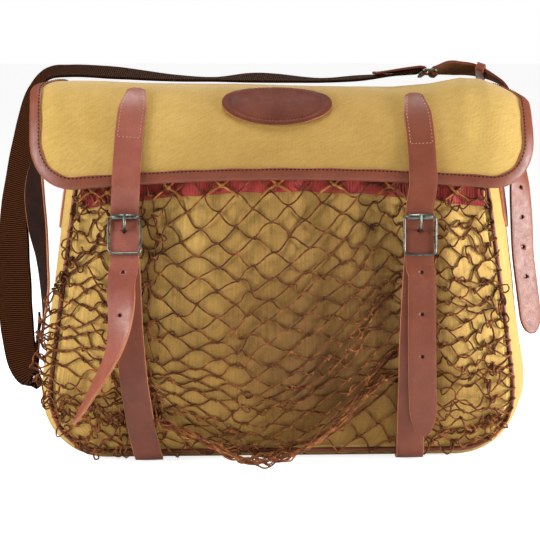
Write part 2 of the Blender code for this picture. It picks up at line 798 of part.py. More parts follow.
def strap_line(route, distance):
    return free_line(route.at(distance)[:3], strap_across(route, distance))


# Shoulder strap: sewn to the left gusset, a loop at the left side, then over the top to the right

SEWN_Y = 14.0
SEWN_TIP_Z = 208.0
SEWN_TOP_Z = 268.0
SEWN_TIP_SHARE = 0.3
SEWN_TIP_LENGTH = 18.0
LAP = 22.0
WEBBING_TO_LEATHER = (WEBBING + STRAP_LEATHER) / 2 + 4 * GAP


def on_gusset(z):
    """Distance from the middle plane to the middle of a leather strap sewn to a gusset."""
    return seam_half(z) + GUSSET_BULGE + (CANVAS + STRAP_LEATHER) / 2 + 2 * GAP


# Middle line of the left part of the strap: x, y, z, then the direction across the strap
LEFT_ROUTE = (
    (-on_gusset(SEWN_TIP_Z), SEWN_Y, SEWN_TIP_Z, 0, 1, 0),
    (-on_gusset(228), SEWN_Y, 228, 0, 1, 0),
    (-on_gusset(250), SEWN_Y, 250, 0, 1, 0),
    (-on_gusset(SEWN_TOP_Z) - 0.5, SEWN_Y, SEWN_TOP_Z, 0, 1, 0),
    (-203, 15, 284, 0, 1, 0),
    (-212, 17, 292, 0, 1, 0),
    (-221, 21, 284, -0.2, 0.98, 0),
    (-226, 25, 262, -0.5, 0.85, 0),
    (-228, 29, 238, -0.75, 0.66, 0),
    (-226, 34, 208, -0.75, 0.66, 0),
    (-222, 36, 178, -0.5, 0.87, 0),
    (-220, 38, 150, -0.35, 0.94, 0),
    (-221, 40, 122, -0.1, 0.99, 0),
    (-224, 42, 95, 0, 1, 0),
    (-225.5, 43, 76, 0, 1, 0),
    (-230, 44, 62, 0, 1, 0),
    (-238, 45, 63, -0.2, 0.98, 0),
    (-244, 47, 80, -0.4, 0.92, 0),
    (-250, 50, 112, -0.6, 0.8, 0),
    (-252, 54, 150, -0.65, 0.76, 0),
    (-252, 57, 190, -0.65, 0.76, 0),
    (-248, 58, 230, -0.62, 0.78, 0),
    (-241, 57, 270, -0.6, 0.8, 0),
    (-234, 51, 305, -0.5, 0.86, 0),
    (-228, 43, 331, -0.3, 0.95, 0.1),
    (-215, 35, 349, -0.1, 0.97, 0.2),
    (-192, 29, 353, 0, 0.97, 0.22),
    (-150, 25, 351, 0, 0.97, 0.22),
    (-100, 23, 346.5, 0, 0.99, 0.1),
    (-60, 22, 345, 0, 1, 0.04),
    (-25, 22, 346.5, 0, 0.98, 0.16),
    (0, 22, 346, 0, 0.98, 0.14),
    (40, 23, 344, 0, 1, 0.04),
    (75, 24, 346, 0, 0.98, 0.18),
    (105, 25, 349, 0, 0.96, 0.26),
    (132, 26, 352, 0, 0.95, 0.28),
)
# Middle line of the right part, from the ring over the top corner to the hanging tip
RIGHT_ROUTE = (
    (149, 26, 352, 0, 0.92, 0.38),
    (166, 34, 355, 0, 0.87, 0.5),
    (184, 37, 354, 0, 0.9, 0.44),
    (199, 33, 349, 0, 0.97, 0.25),
    (211, 27, 341, 0, 1, 0.1),
    (217.5, 22, 328, 0, 1, 0),
    (220.5, 20, 312, 0, 1, 0),
    (222.5, 18, 292, 0.1, 0.99, 0),
    (221, 14, 270, 0.4, 0.92, 0),
    (217.5, 10, 245, 0.65, 0.76, 0),
    (216, 7, 214, 0.72, 0.69, 0),
    (218, 5, 182, 0.72, 0.69, 0),
    (222, 4, 152, 0.72, 0.69, 0),
    (226, 4, 130, 0.72, 0.69, 0),
    (228, 4, 117, 0.72, 0.69, 0),
)
LEATHER_END = 250.0
LEATHER_STEPS = 28
WEBBING_STEPS = 54
WRAP_STEPS = 6
# Share of the webbing's width gathered in at the ring, and the wrap's widening away from it
WEBBING_GATHER = 0.2
WRAP_FLARE = 1.5
RING_WIRE = 1.4
RING_HALF = 18.0
RING_REACH = 6.0
RING_FOLD = RING_WIRE + GAP + STRAP_LEATHER / 2
WRAP_LENGTH = 42.0
WRAP_HALF_WIDTH = 15.0
FOLD_UNDER = 2.0
LAST_HOLE_FROM_TIP = 53.0
BILLET_HOLE_SPACING = 28.0
BILLET_HOLES = 4
SHOULDER_BUCKLE_Z = 310.0
KEEPER_ALONG = 46.0
KEEPER_LENGTH = 8.0
KEEPER_ROOM = 3.0
SHOULDER_LAP = 3.0


def strap_section(route, distance, lift):
    """Cross line of the shoulder strap, lifted off its middle line."""
    row = route.at(distance)
    along = route.tangent(distance)
    across = Vector(row[3:6])
    across = (across - along * across.dot(along)).normalized()
    out = along.cross(across).normalized()
    return free_line(Vector(row[:3]) + out * lift, across)


def shoulder_left(route, leather_end):
    """The leather tapers to a point where it is sewn, the webbing starts under its other end."""
    distances = [leather_end * step / LEATHER_STEPS for step in range(LEATHER_STEPS + 1)]
    widths = [STRAP_WIDTH / 2 * min(1.0, SEWN_TIP_SHARE + distance / SEWN_TIP_LENGTH) for distance in distances]
    lines = [strap_section(route, distance, 0) for distance in distances]
    ribbon("shoulder_leather_left", lines, widths, STRAP_LEATHER, "dark_leather")


def shoulder_webbing(route, leather_end):
    start = leather_end - LAP
    lines = []
    widths = []
    for step in range(WEBBING_STEPS + 1):
        distance = start + (route.length - start) * step / WEBBING_STEPS
        lift = -WEBBING_TO_LEATHER * (1 - smooth_step(leather_end + 16, leather_end + 40, distance))
        lines.append(strap_section(route, distance, lift))
        share = smooth_step(route.length - 30, route.length, distance)
        widths.append(WEBBING_WIDTH / 2 * (1 - WEBBING_GATHER * share))
    ribbon("shoulder_webbing", lines, widths, WEBBING, "webbing")


def ring_frame(left, right):
    """Local frame between the end of the webbing and the start of the billet."""
    start = Vector(left.at(left.length)[:3])
    end = Vector(right.at(0)[:3])
    along = (end - start).normalized()
    across = Vector(left.at(left.length)[3:6])
    across = (across - along * across.dot(along)).normalized()
    return Buckle("ring", (start + end) / 2, -along, along.cross(across))


def webbing_ring(frame):
    """A flat rectangular ring between the webbing and the billet."""
    rows = []
    for across, up in ((-1, 1), (1, 1), (1, -1), (-1, -1)):
        side = (across * RING_HALF, up * (RING_REACH - 2), 0)
        end = (across * (RING_HALF - 2), up * RING_REACH, 0)
        rows += [side, end] if across * up < 0 else [end, side]
    tube("webbing_ring", [frame.point(*row) for row in rows], RING_WIRE, "nickel", cyclic=True)


def fold_lines(frame, side):
    """Cross lines of leather folded round one long side of the ring, from its lower end to its upper."""
    bar = side * RING_REACH
    lines = [free_line(frame.point(0, bar + side * FOLD_UNDER, -RING_FOLD), frame.across)]
    for step in range(FOLD_STEPS + 1):
        turn = math.pi * step / FOLD_STEPS
        up = bar - side * RING_FOLD * math.sin(turn)
        lines.append(free_line(frame.point(0, up, -RING_FOLD * math.cos(turn)), frame.across))
    return lines


def webbing_end(route, frame):
    """A leather wrap over the end of the webbing, folded round the ring."""
    lines = fold_lines(frame, 1)
    widths = [WRAP_HALF_WIDTH] * len(lines)
    for step in range(WRAP_STEPS + 1):
        share = step / WRAP_STEPS
        lines.append(strap_section(route, route.length - WRAP_LENGTH * share, RING_FOLD + GAP))
        widths.append(WRAP_HALF_WIDTH + WRAP_FLARE * share)
    ribbon("webbing_end", lines, widths, STRAP_LEATHER, "leather")


def distance_at_height(route, z):
    return min((abs(route.at(distance)[2] - z), distance) for distance in range(int(route.length)))[1]


def shoulder_billet(route, frame, buckle):
    """The strap with holes: folded round the ring, over the top corner, down to its hanging tip."""
    lines = fold_lines(frame, -1)
    widths = [STRAP_WIDTH / 2] * len(lines)
    distances = [3 + (route.length - 3) * step / LEATHER_STEPS for step in range(LEATHER_STEPS + 1)]
    distances += [route.length - 2.5, route.length - 5.5]
    distances.sort()
    for distance in distances:
        lines.append(strap_section(route, distance, RING_FOLD * (1 - smooth_step(4, 26, distance))))
    widths += tip_widths(distances, STRAP_WIDTH / 2, END_TIP, route.length)
    billet = ribbon("shoulder_billet", lines, widths, STRAP_LEATHER, "leather")
    boolean(billet, peg("billet_prong_hole", buckle.centre, buckle.out, PRONG_RADIUS + GAP, HOLE_DEPTH), "DIFFERENCE")
    for hole in range(BILLET_HOLES):
        distance = route.length - LAST_HOLE_FROM_TIP - BILLET_HOLE_SPACING * hole
        row = route.at(distance)
        out = route.tangent(distance).cross(Vector(row[3:6]))
        boolean(billet, peg(f"billet_hole_{hole + 1}", row[:3], out, HOLE_RADIUS, HOLE_DEPTH), "DIFFERENCE")


def shoulder_anchor(buckle):
    """The right end of the strap: sewn to the gusset, and folded round the buckle's bar."""
    centres = [(on_gusset(z), SEWN_Y, z) for z in (SEWN_TIP_Z, 214, 222, 236, 250, SEWN_TOP_Z)]
    centres += [(200.5, 15, 280), (206, 17.5, 290)]
    centres += round_the_bar(buckle, (-11, -5, 0), SHOULDER_LAP)
    lines = [free_line(centre, (0, 1, 0)) for centre in centres[:8]]
    lines += [free_line(centre, buckle.across) for centre in centres[8:]]
    widths = [STRAP_WIDTH / 2 * share for share in (0.3, 0.65, 0.95)] + [STRAP_WIDTH / 2] * (len(lines) - 3)
    anchor = ribbon("shoulder_anchor_right", lines, widths, STRAP_LEATHER, "leather")
    boolean(anchor, prong_slot(buckle), "DIFFERENCE")


def block(name, frame, sizes):
    """A box in a buckle's frame: its sizes across, along and out."""
    bm = bmesh.new()
    bmesh.ops.create_cube(bm, size=1)
    for vert in bm.verts:
        across, up, out = (part * size for part, size in zip(vert.co, sizes))
        vert.co = frame.point(across, up, out) * MM
    bmesh.ops.recalc_face_normals(bm, faces=bm.faces)
    mesh = bpy.data.meshes.new(name)
    bm.to_mesh(mesh)
    bm.free()
    return add_piece(name, mesh, "leather")


def shoulder_keeper(route):
    """A leather loop round the billet, near the top corner."""
    row = route.at(KEEPER_ALONG)
    along = route.tangent(KEEPER_ALONG)
    frame = Buckle("keeper", row[:3], -along, along.cross(Vector(row[3:6])))
    inner = (STRAP_WIDTH + KEEPER_ROOM, KEEPER_LENGTH + 4, STRAP_LEATHER + KEEPER_ROOM)
    outer = (inner[0] + 2 * BINDING_LEATHER, KEEPER_LENGTH, inner[2] + 2 * BINDING_LEATHER)
    keeper = block("shoulder_keeper", frame, outer)
    boolean(keeper, block("keeper_bore", frame, inner), "DIFFERENCE")


def shoulder_strap():
    left = Route(LEFT_ROUTE)
    right = Route(RIGHT_ROUTE)
    frame = ring_frame(left, right)
    distance = distance_at_height(right, SHOULDER_BUCKLE_Z)
    row = right.at(distance)
    along = right.tangent(distance)
    buckle = Buckle("shoulder", row[:3], -along, along.cross(Vector(row[3:6])))
    shoulder_left(left, LEATHER_END)
    shoulder_webbing(left, LEATHER_END)
    webbing_end(left, frame)
    webbing_ring(frame)
    shoulder_billet(right, frame, buckle)
    shoulder_anchor(buckle)
    buckle_frame(buckle)
    buckle_roller(buckle)
    buckle_prong(buckle)
    shoulder_keeper(right)


def build():
    body_panel("front_panel", front_y)
    body_panel("back_panel", back_y)
    gusset()
    piping("piping_front", -1)
    piping("piping_back", 1)
    pocket_panel()
    pocket_band()
    net()
    net_head_cord()
    flap()
    flap_binding()
    oval_patch()
    for side in ("left", "right"):
        buckle = front_buckle(side)
        bottom_strap(side, buckle)
        buckle_frame(buckle)
        buckle_roller(buckle)
        buckle_prong(buckle)
        flap_strap(side, buckle)
    shoulder_strap()


build()
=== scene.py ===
# %% [markdown]
# # A hunting game bag
# This lesson dresses a canvas game bag that stands upright and closed. Its solids come ready made from a
# CAD model and stay where they are. Each soft solid gets a finer piece in its place: woven canvas, stitched
# leather, ribbed elastic and knotted net. Lengths are written in millimetres and turned to metres by MM.

import math

import bmesh
import bpy
import numpy as np
from mathutils import Matrix, Vector


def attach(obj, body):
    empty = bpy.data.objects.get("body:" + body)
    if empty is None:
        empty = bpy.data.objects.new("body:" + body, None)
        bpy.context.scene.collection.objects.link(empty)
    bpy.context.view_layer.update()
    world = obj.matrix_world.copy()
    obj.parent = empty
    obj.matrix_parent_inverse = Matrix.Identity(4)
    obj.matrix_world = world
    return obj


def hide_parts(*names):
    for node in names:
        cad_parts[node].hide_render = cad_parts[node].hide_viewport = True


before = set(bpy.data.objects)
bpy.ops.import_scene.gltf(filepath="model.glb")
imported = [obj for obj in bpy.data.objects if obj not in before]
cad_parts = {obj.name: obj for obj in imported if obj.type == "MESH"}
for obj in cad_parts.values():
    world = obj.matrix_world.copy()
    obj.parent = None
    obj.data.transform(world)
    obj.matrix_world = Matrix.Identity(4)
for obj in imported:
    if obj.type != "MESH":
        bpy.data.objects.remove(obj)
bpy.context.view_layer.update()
MM = 0.001


# %% [markdown]
# ## The studio
# The bag is seen from the front, a little from its left and a little from above. The lens is long for its
# distance, so the sides hardly converge, as in a catalogue picture. The camera looks straight at one point
# on the bag's front, so no shift is needed. The backdrop is plain white, but the room gives only about an
# eighth of the light. Four softboxes give the rest, so the flap is bright, the leather has soft highlights
# and the pocket lies in the shade of the flap.

# %% Camera
VIEW_AZIMUTH, VIEW_ELEVATION = math.radians(-3.0), math.radians(6.0)
VIEW_DISTANCE = 2000.0
PIXELS = 540
MM_PER_PIXEL = 0.90
SENSOR = 36.0
LOOK_AT = Vector((-12.6, -70.0, 176.0))


def show(thing):
    """Puts an object into the scene."""
    bpy.context.scene.collection.objects.link(thing)
    return thing


toward_camera = Vector((
    math.sin(VIEW_AZIMUTH) * math.cos(VIEW_ELEVATION), -math.cos(VIEW_AZIMUTH) * math.cos(VIEW_ELEVATION),
    math.sin(VIEW_ELEVATION),
))
lens = bpy.data.cameras.new("long_lens")
lens.sensor_width = SENSOR
lens.lens = SENSOR * VIEW_DISTANCE / (PIXELS * MM_PER_PIXEL)
lens.clip_end = 100
camera = show(bpy.data.objects.new("camera", lens))
camera.location = (LOOK_AT + toward_camera * VIEW_DISTANCE) * MM
camera.rotation_euler = (-toward_camera).to_track_quat("-Z", "Y").to_euler()
bpy.context.scene.camera = camera
print("lens", round(lens.lens, 1), "mm")

# %% Softboxes: place and aim in metres, side and watts
SOFTBOXES = {
    "softbox_left": ((-1.05, -0.50, 0.45), (0, 0, 0.12), 0.4, 11.5),
    "softbox_right": ((1.05, -0.33, 0.25), (0, 0, 0.12), 0.4, 16),
    "softbox_above": ((-0.1, -0.20, 2.2), (0, 0, 0.2), 0.9, 34),
    "softbox_behind": ((0.2, 1.9, 1.2), (0, 0, 0.2), 0.8, 14),
}
for name, (place, aim, side, watts) in SOFTBOXES.items():
    lamp = bpy.data.lights.new(name, "AREA")
    lamp.shape = "SQUARE"
    lamp.size = side
    lamp.energy = watts
    holder = show(bpy.data.objects.new(name, lamp))
    holder.location = place
    holder.rotation_euler = (Vector(aim) - Vector(place)).to_track_quat("-Z", "Y").to_euler()
print(len(SOFTBOXES), "softboxes")

# %% World and floor
ROOM_LIGHT = 0.12
FLOOR_RADIUS = 30.0
world = bpy.data.worlds.new("white_room")
world.use_nodes = True
room = world.node_tree
seen, lit = room.nodes["Background"], room.nodes.new("ShaderNodeBackground")
seen.inputs["Color"].default_value = lit.inputs["Color"].default_value = (1, 1, 1, 1)
lit.inputs["Strength"].default_value = ROOM_LIGHT
blend = room.nodes.new("ShaderNodeMixShader")
room.links.new(room.nodes.new("ShaderNodeLightPath").outputs["Is Camera Ray"], blend.inputs["Fac"])
room.links.new(lit.outputs["Background"], blend.inputs[1])
room.links.new(seen.outputs["Background"], blend.inputs[2])
room.links.new(blend.outputs["Shader"], room.nodes["World Output"].inputs["Surface"])
bpy.context.scene.world = world
bpy.context.scene.view_settings.view_transform = "Standard"

bm = bmesh.new()
bmesh.ops.create_circle(bm, cap_ends=True, segments=64, radius=FLOOR_RADIUS)
floor = show(bpy.data.objects.new("floor", bpy.data.meshes.new("floor")))
bm.to_mesh(floor.data)
bm.free()
print("floor disc of", FLOOR_RADIUS, "m")

# %% [markdown]
# ## Colours and nodes
# A colour is easiest to judge as the sRGB hex value that a screen shows, but a shader works with linear
# light, so one function turns the one into the other. A second small function adds a node of any kind with
# its settings and its inputs, which are plain values or the outputs of other nodes.


# %% One way to write a colour and one way to add a node
def hex_colour(code):
    channels = [int(code[k:k + 2], 16) / 255 for k in (1, 3, 5)]
    return (*[c / 12.92 if c <= 0.04045 else ((c + 0.055) / 1.055) ** 2.4 for c in channels], 1.0)


def feed(tree, socket, value):
    """Links an input to another node's output, or sets it to a plain value."""
    if isinstance(value, bpy.types.NodeSocket):
        tree.links.new(value, socket)
    else:
        socket.default_value = value


def add_node(tree, kind, inputs=None, **settings):
    node = tree.nodes.new(kind)
    for setting, value in settings.items():
        setattr(node, setting, value)
    for socket, value in (inputs or {}).items():
        feed(tree, node.inputs[socket], value)
    return node


print("chestnut brown in linear light:", [round(value, 3) for value in hex_colour("#84422e")])


# %% Tools for patterns
def new_material(name, roughness, metallic=0.0, **sockets):
    material = bpy.data.materials.new(name)
    material.use_nodes = True
    shader = material.node_tree.nodes["Principled BSDF"]
    for socket, value in {"Roughness": roughness, "Metallic": metallic, **sockets}.items():
        shader.inputs[socket.replace("_", " ")].default_value = value
    return material, material.node_tree, shader


def colour_ramp(tree, factor, *stops):
    ramp = add_node(tree, "ShaderNodeValToRGB", {"Fac": factor})
    elements = ramp.color_ramp.elements
    elements.remove(elements[1])
    elements[0].position, elements[0].color = stops[0][0], hex_colour(stops[0][1])
    for place, code in stops[1:]:
        elements.new(place).color = hex_colour(code)
    return ramp.outputs["Color"]


def paint(tree, shader, colour):
    feed(tree, shader.inputs["Base Color"], colour)


def noise(tree, coordinates, size_mm, detail=3.0, roughness=0.55):
    """Cloudy noise whose blobs are about size_mm across."""
    inputs = {"Scale": 1 / (size_mm * MM), "Detail": detail, "Roughness": roughness, "Vector": coordinates}
    return add_node(tree, "ShaderNodeTexNoise", inputs).outputs["Fac"]


def threads(tree, coordinates, direction, spacing_mm, distortion=0.4):
    """Bands across a surface, one for each thread."""
    inputs = {
        "Scale": math.tau / (20 * spacing_mm * MM), "Distortion": distortion,
        "Detail": 2.0, "Detail Scale": 0.6, "Vector": coordinates,
    }
    return add_node(
        tree, "ShaderNodeTexWave", inputs, wave_type="BANDS", bands_direction=direction, wave_profile="SIN",
    ).outputs["Fac"]


def math_node(tree, operation, first, second):
    return add_node(tree, "ShaderNodeMath", {0: first, 1: second}, operation=operation).outputs["Value"]


def multiply(tree, first, second, amount=1.0):
    """Darkens the first colour by the second."""
    return add_node(
        tree, "ShaderNodeMix", {0: amount, 6: first, 7: second}, data_type="RGBA", blend_type="MULTIPLY"
    ).outputs[2]


def map_range(tree, value, *ends):
    """Turns one range of values into another: its two ends, then the two ends that they become."""
    inputs = dict(zip(("From Min", "From Max", "To Min", "To Max"), ends))
    return add_node(tree, "ShaderNodeMapRange", {"Value": value, **inputs}).outputs["Result"]


def bump(tree, shader, height, distance_mm, strength=1.0):
    """Adds a layer of fine relief over any that the shader already has."""
    inputs = {"Distance": distance_mm * MM, "Strength": strength, "Height": height}
    normal = shader.inputs["Normal"]
    if normal.is_linked:
        inputs["Normal"] = normal.links[0].from_socket
    feed(tree, normal, add_node(tree, "ShaderNodeBump", inputs).outputs["Normal"])


def surface_coordinates(tree):
    """The piece's own UV map, in metres along the cloth."""
    return add_node(tree, "ShaderNodeTexCoord").outputs["UV"]


def object_coordinates(tree):
    return add_node(tree, "ShaderNodeTexCoord").outputs["Object"]


# %% The floor's opal panel, lit from below for the lens only
PANEL_GLOW = 0.84
opal, tree, shader = new_material("opal_acrylic_panel", 0.9, Emission_Color=(1, 1, 1, 1))
seen = add_node(tree, "ShaderNodeLightPath").outputs["Is Camera Ray"]
feed(tree, shader.inputs["Emission Strength"], math_node(tree, "MULTIPLY", seen, PANEL_GLOW))
paint(tree, shader, colour_ramp(
    tree, noise(tree, object_coordinates(tree), 900), (0.0, "#f2f1ee"), (1.0, "#fbfaf8")
))
floor.data.materials.append(opal)
print("floor material:", opal.name)

# %% [markdown]
# ## Canvas
# The bag's body is a waxed cotton duck, mustard yellow, woven plainly from threads about 0.6 mm apart. At
# this size one thread is less than a pixel, so the weave is drawn at twice its real spacing, with soft
# clouds of lighter and darker wax on top. The threads follow the cloth through its UV map, which is in
# metres, so they bend round the corners with it.


# %% Canvas material
def canvas_material(name, light, dark, wear, slant, stretch, streak_mm, painted_shade_spots):
    """Streaks of yarn are turned by slant and drawn out by stretch. A spot of painted shade is x, z, size in
    mm and tint.
    """
    material, tree, shader = new_material(name, 0.86, Sheen_Weight=0.12, Sheen_Roughness=0.5)
    cloth = surface_coordinates(tree)
    place = object_coordinates(tree)
    weave = math_node(tree, "MULTIPLY", threads(tree, cloth, "X", 1.25), threads(tree, cloth, "Y", 1.1))
    slubs = noise(tree, cloth, 1.7)
    turned = add_node(tree, "ShaderNodeMapping", {"Rotation": (0, 0, math.radians(slant)), "Vector": cloth})
    drawn_out = {"Scale": (1, stretch, 1), "Vector": turned.outputs["Vector"]}
    yarn = add_node(tree, "ShaderNodeMapping", drawn_out).outputs["Vector"]
    streaks = noise(tree, yarn, streak_mm, 4.0, 0.7)
    fibres = math_node(tree, "ADD", math_node(tree, "MULTIPLY", slubs, 0.45), streaks)
    shade = math_node(tree, "ADD", math_node(tree, "MULTIPLY", weave, 0.4), fibres)
    wax = colour_ramp(tree, noise(tree, place, 55, 4.0, 0.6), (0.3, dark), (0.7, light))
    colour = multiply(tree, wax, colour_ramp(tree, shade, (0.55, "#a9a294"), (1.0, "#ffffff")), wear)
    # Each spot darkens the cloth toward its tint: painted shade.
    for x, z, size, tint in painted_shade_spots:
        spot = add_node(tree, "ShaderNodeMapping", {
            "Location": (-x / size, 0, -z / size), "Scale": (1 / (size * MM), 0, 1 / (size * MM)),
            "Vector": place,
        })
        fade = add_node(
            tree, "ShaderNodeTexGradient", {"Vector": spot.outputs["Vector"]}, gradient_type="SPHERICAL"
        ).outputs["Fac"]
        colour = multiply(tree, colour, colour_ramp(tree, fade, (0.0, "#ffffff"), (0.6, tint)))
    paint(tree, shader, colour)
    bump(tree, shader, weave, 0.14, 0.8)
    bump(tree, shader, slubs, 0.18, 0.5)
    return material


# Mustard cloth of the body and the flap: its yarn runs aslant, and one faint spot of painted shade darkens
# the flap's middle
CANVAS_LOOK = canvas_material(
    "waxed_cotton_duck", "#c8a456", "#ba9647", 0.5, 62.0, 0.12, 1.4, [(20, 270, 150, "#ebe5d8")]
)
# The pocket's cloth is brighter, its yarn runs straight down, and painted shade darkens its middle and lower
# part
POCKET_LOOK = canvas_material(
    "waxed_cotton_duck_pocket", "#e4ba66", "#cba251", 0.8, 0.0, 0.05, 2.4,
    [
        (20, 150, 165, "#cfc5b2"), (55, 110, 112, "#c5b89f"),
        (50, 30, 95, "#ddd3c0"), (-40, 60, 110, "#ebe4d8"),
    ],
)
print("canvas materials:", CANVAS_LOOK.name, POCKET_LOOK.name)

# %% [markdown]
# ## Leather
# The straps and the binding are cut from vegetable-tanned cowhide, dyed chestnut and lightly glazed. The
# glaze gives it a soft highlight, the hide a fine grain of pores and creases about a millimetre across, and
# the dye varies in slow clouds. The cut edges aren't dyed through, so they show the tan and fibrous inside
# of the hide.


# %% Leather and cut edges
def leather_material(name, light, middle, dark, roughness, specular):
    material, tree, shader = new_material(name, roughness, Specular_IOR_Level=specular)
    place = object_coordinates(tree)
    dye = colour_ramp(tree, noise(tree, place, 24, 5.0, 0.62), (0.28, dark), (0.5, middle), (0.75, light))
    pores = add_node(
        tree, "ShaderNodeTexVoronoi", {"Scale": 1 / (1.1 * MM), "Randomness": 1.0, "Vector": place},
        feature="F1", distance="EUCLIDEAN",
    ).outputs["Distance"]
    grain = colour_ramp(tree, pores, (0.0, "#d8cfc9"), (0.5, "#ffffff"))
    paint(tree, shader, multiply(tree, dye, grain, 0.55))
    scuffs = noise(tree, place, 7, 5.0, 0.7)
    dullness = map_range(tree, scuffs, 0.3, 0.7, roughness - 0.08, roughness + 0.12)
    feed(tree, shader.inputs["Roughness"], dullness)
    bump(tree, shader, pores, 0.16, 0.55)
    bump(tree, shader, scuffs, 0.35, 0.35)
    return material


def cut_edge_material(name, light, dark):
    material, tree, shader = new_material(name, 0.72)
    fibres = noise(tree, object_coordinates(tree), 1.4, 4.0, 0.7)
    paint(tree, shader, colour_ramp(tree, fibres, (0.3, dark), (0.7, light)))
    bump(tree, shader, fibres, 0.3, 0.6)
    return material


# Glazed chestnut hide of most straps, with a soft highlight
LEATHER_LOOK = leather_material("chestnut_bridle_leather", "#80422e", "#763d29", "#6c3624", 0.43, 0.42)
# Nearly black, dull copy of the hide for the leather at the left side: painted shade for a strap in shadow
SHADED_LEATHER_LOOK = leather_material(
    "painted_shade_bridle_leather", "#2c150d", "#200f09", "#160a06", 0.6, 0.06
)
# Unglazed underside of the hide, seen where the billet turns over
FLESH_LOOK = leather_material("rough_flesh_side_of_hide", "#70492a", "#5c3a1f", "#4a2c15", 0.85, 0.05)
# Paler and rosier copy of the hide for the left flap strap: painted light, as from a lamp on its left
PAINTED_LIT_LEATHER_LOOK = leather_material("painted_lit_chestnut_leather", "#97574a", "#8a4b3b", "#7d4031", 0.42, 0.45)
# Deeper and more matt, for the oval patch and the wrap
PATCH_LOOK = leather_material("waxed_patch_leather", "#6d3827", "#623021", "#582a1c", 0.56, 0.16)
# A light tan line along each cut strap, and a near-black wall in each punched hole: painted shade inside the
# hole
EDGE_LOOK = cut_edge_material("cut_leather_edge", "#b8734a", "#965836")
HOLE_SHADE_LOOK = cut_edge_material("painted_shade_hole_wall", "#2e1a10", "#190d07")
print("leather materials:", LEATHER_LOOK.name, SHADED_LEATHER_LOOK.name)

# %% [markdown]
# ## Metal, elastic, webbing and twine
# The buckles are steel wire plated with nickel and blackened a little, so they look pewter grey. The
# pocket's hem is a red elastic whose rubber threads gather it into narrow ribs. The webbing is dark brown
# polyester with coarse ribs across it. The net is knotted from a hard-laid rust-brown twine, with painted
# light that makes it paler toward the floor; the lacing is a paler copy of it, also painted light.


# %% Materials of the trim
def nickel_material():
    material, tree, shader = new_material("antique_nickel_plate", 0.34, 1.0)
    place = object_coordinates(tree)
    tarnish = noise(tree, place, 5, 4.0)
    paint(tree, shader, colour_ramp(tree, tarnish, (0.3, "#4b4c47"), (0.7, "#7f8079")))
    feed(tree, shader.inputs["Roughness"], map_range(tree, tarnish, 0, 1, 0.24, 0.48))
    bump(tree, shader, noise(tree, place, 1.2), 0.06, 0.4)
    return material


def elastic_material():
    material, tree, shader = new_material("red_ribbed_elastic", 0.8, Sheen_Weight=0.2, Sheen_Roughness=0.4)
    cloud = noise(tree, object_coordinates(tree), 22, 4.0)
    paint(tree, shader, colour_ramp(tree, cloud, (0.3, "#962c27"), (0.75, "#b03c34")))
    bump(tree, shader, threads(tree, surface_coordinates(tree), "Y", 0.9), 0.12, 0.7)
    return material


def webbing_material():
    material, tree, shader = new_material("brown_polyester_webbing", 0.9, Specular_IOR_Level=0.03)
    cloth = surface_coordinates(tree)
    yarns = math_node(tree, "MULTIPLY", threads(tree, cloth, "X", 1.3, 0.6), 0.5)
    relief = math_node(tree, "ADD", threads(tree, cloth, "Y", 1.9, 0.2), yarns)
    paint(tree, shader, colour_ramp(tree, relief, (0.1, "#080200"), (0.8, "#1c0c04"), (1.0, "#4a2814")))
    bump(tree, shader, relief, 0.45, 0.9)
    return material


def twine_material(name, dark, middle, light):
    """Dark twine, with painted light that makes it paler toward the floor."""
    material, tree, shader = new_material(name, 0.62, Specular_IOR_Level=0.2)
    place = object_coordinates(tree)
    height = add_node(tree, "ShaderNodeSeparateXYZ", {"Vector": place}).outputs["Z"]
    clumps = noise(tree, place, 9, 5.0, 0.75)
    # Painted light: the colour is lifted more the nearer the twine lies to the floor.
    cloud = math_node(tree, "ADD", clumps, map_range(tree, height, 0.03, 0.19, 0.07, 0.0))
    paint(tree, shader, colour_ramp(tree, cloud, (0.32, dark), (0.52, middle), (0.74, light)))
    bump(tree, shader, noise(tree, place, 0.7), 0.12, 0.8)
    return material


def thread_material(name, code):
    material, tree, shader = new_material(name, 0.8, Specular_IOR_Level=0.1)
    fuzz = noise(tree, object_coordinates(tree), 0.9)
    worn = colour_ramp(tree, fuzz, (0.2, "#c8c8c8"), (0.8, "#ffffff"))
    paint(tree, shader, multiply(tree, hex_colour(code), worn))
    return material


NICKEL_LOOK = nickel_material()
ELASTIC_LOOK = elastic_material()
WEBBING_LOOK = webbing_material()
TWINE_LOOK = twine_material("painted_light_net_twine", "#2b1408", "#5f3216", "#a96a38")
# A paler copy of the net's twine for the lacing crossings: painted light.
LIT_LACING_LOOK = twine_material("painted_lit_lacing_twine", "#6a3817", "#99602f", "#c88d52")
# Dark thread sinks into the binding, faded thread shows on the straps, tan thread just shows on the patch
THREAD_LOOK = thread_material("brown_linen_thread", "#2e130b")
PALE_THREAD_LOOK = thread_material("faded_linen_thread", "#c79b7c")
PATCH_THREAD_LOOK = thread_material("tan_linen_thread", "#9a5a40")
print("trim materials:", NICKEL_LOOK.name, ELASTIC_LOOK.name, WEBBING_LOOK.name, TWINE_LOOK.name)

# %% [markdown]
# ## The shape of the bag
# Every soft surface of the bag is a function from two shares, across and up, to a point. The functions
# repeat the CAD model's named sizes, so each finer piece lies on its solid, apart from a few soft bulges.
# Tables of a few measured rows are easier to read and to correct than formulas, and a smooth curve through
# the rows keeps them fair.


# %% Tables and curves
def lookup(table, value):
    """Straight interpolation in a table of two columns, held at its ends."""
    return float(np.interp(value, [row[0] for row in table], [row[1] for row in table]))


def smooth_step(low, high, value):
    share = min(1.0, max(0.0, (value - low) / (high - low)))
    return share * share * (3 - 2 * share)


def bell(value, centre, spread):
    return math.exp(-(((value - centre) / spread) ** 2))


def even_steps(start, end, count):
    return [start + (end - start) * step / count for step in range(count + 1)]


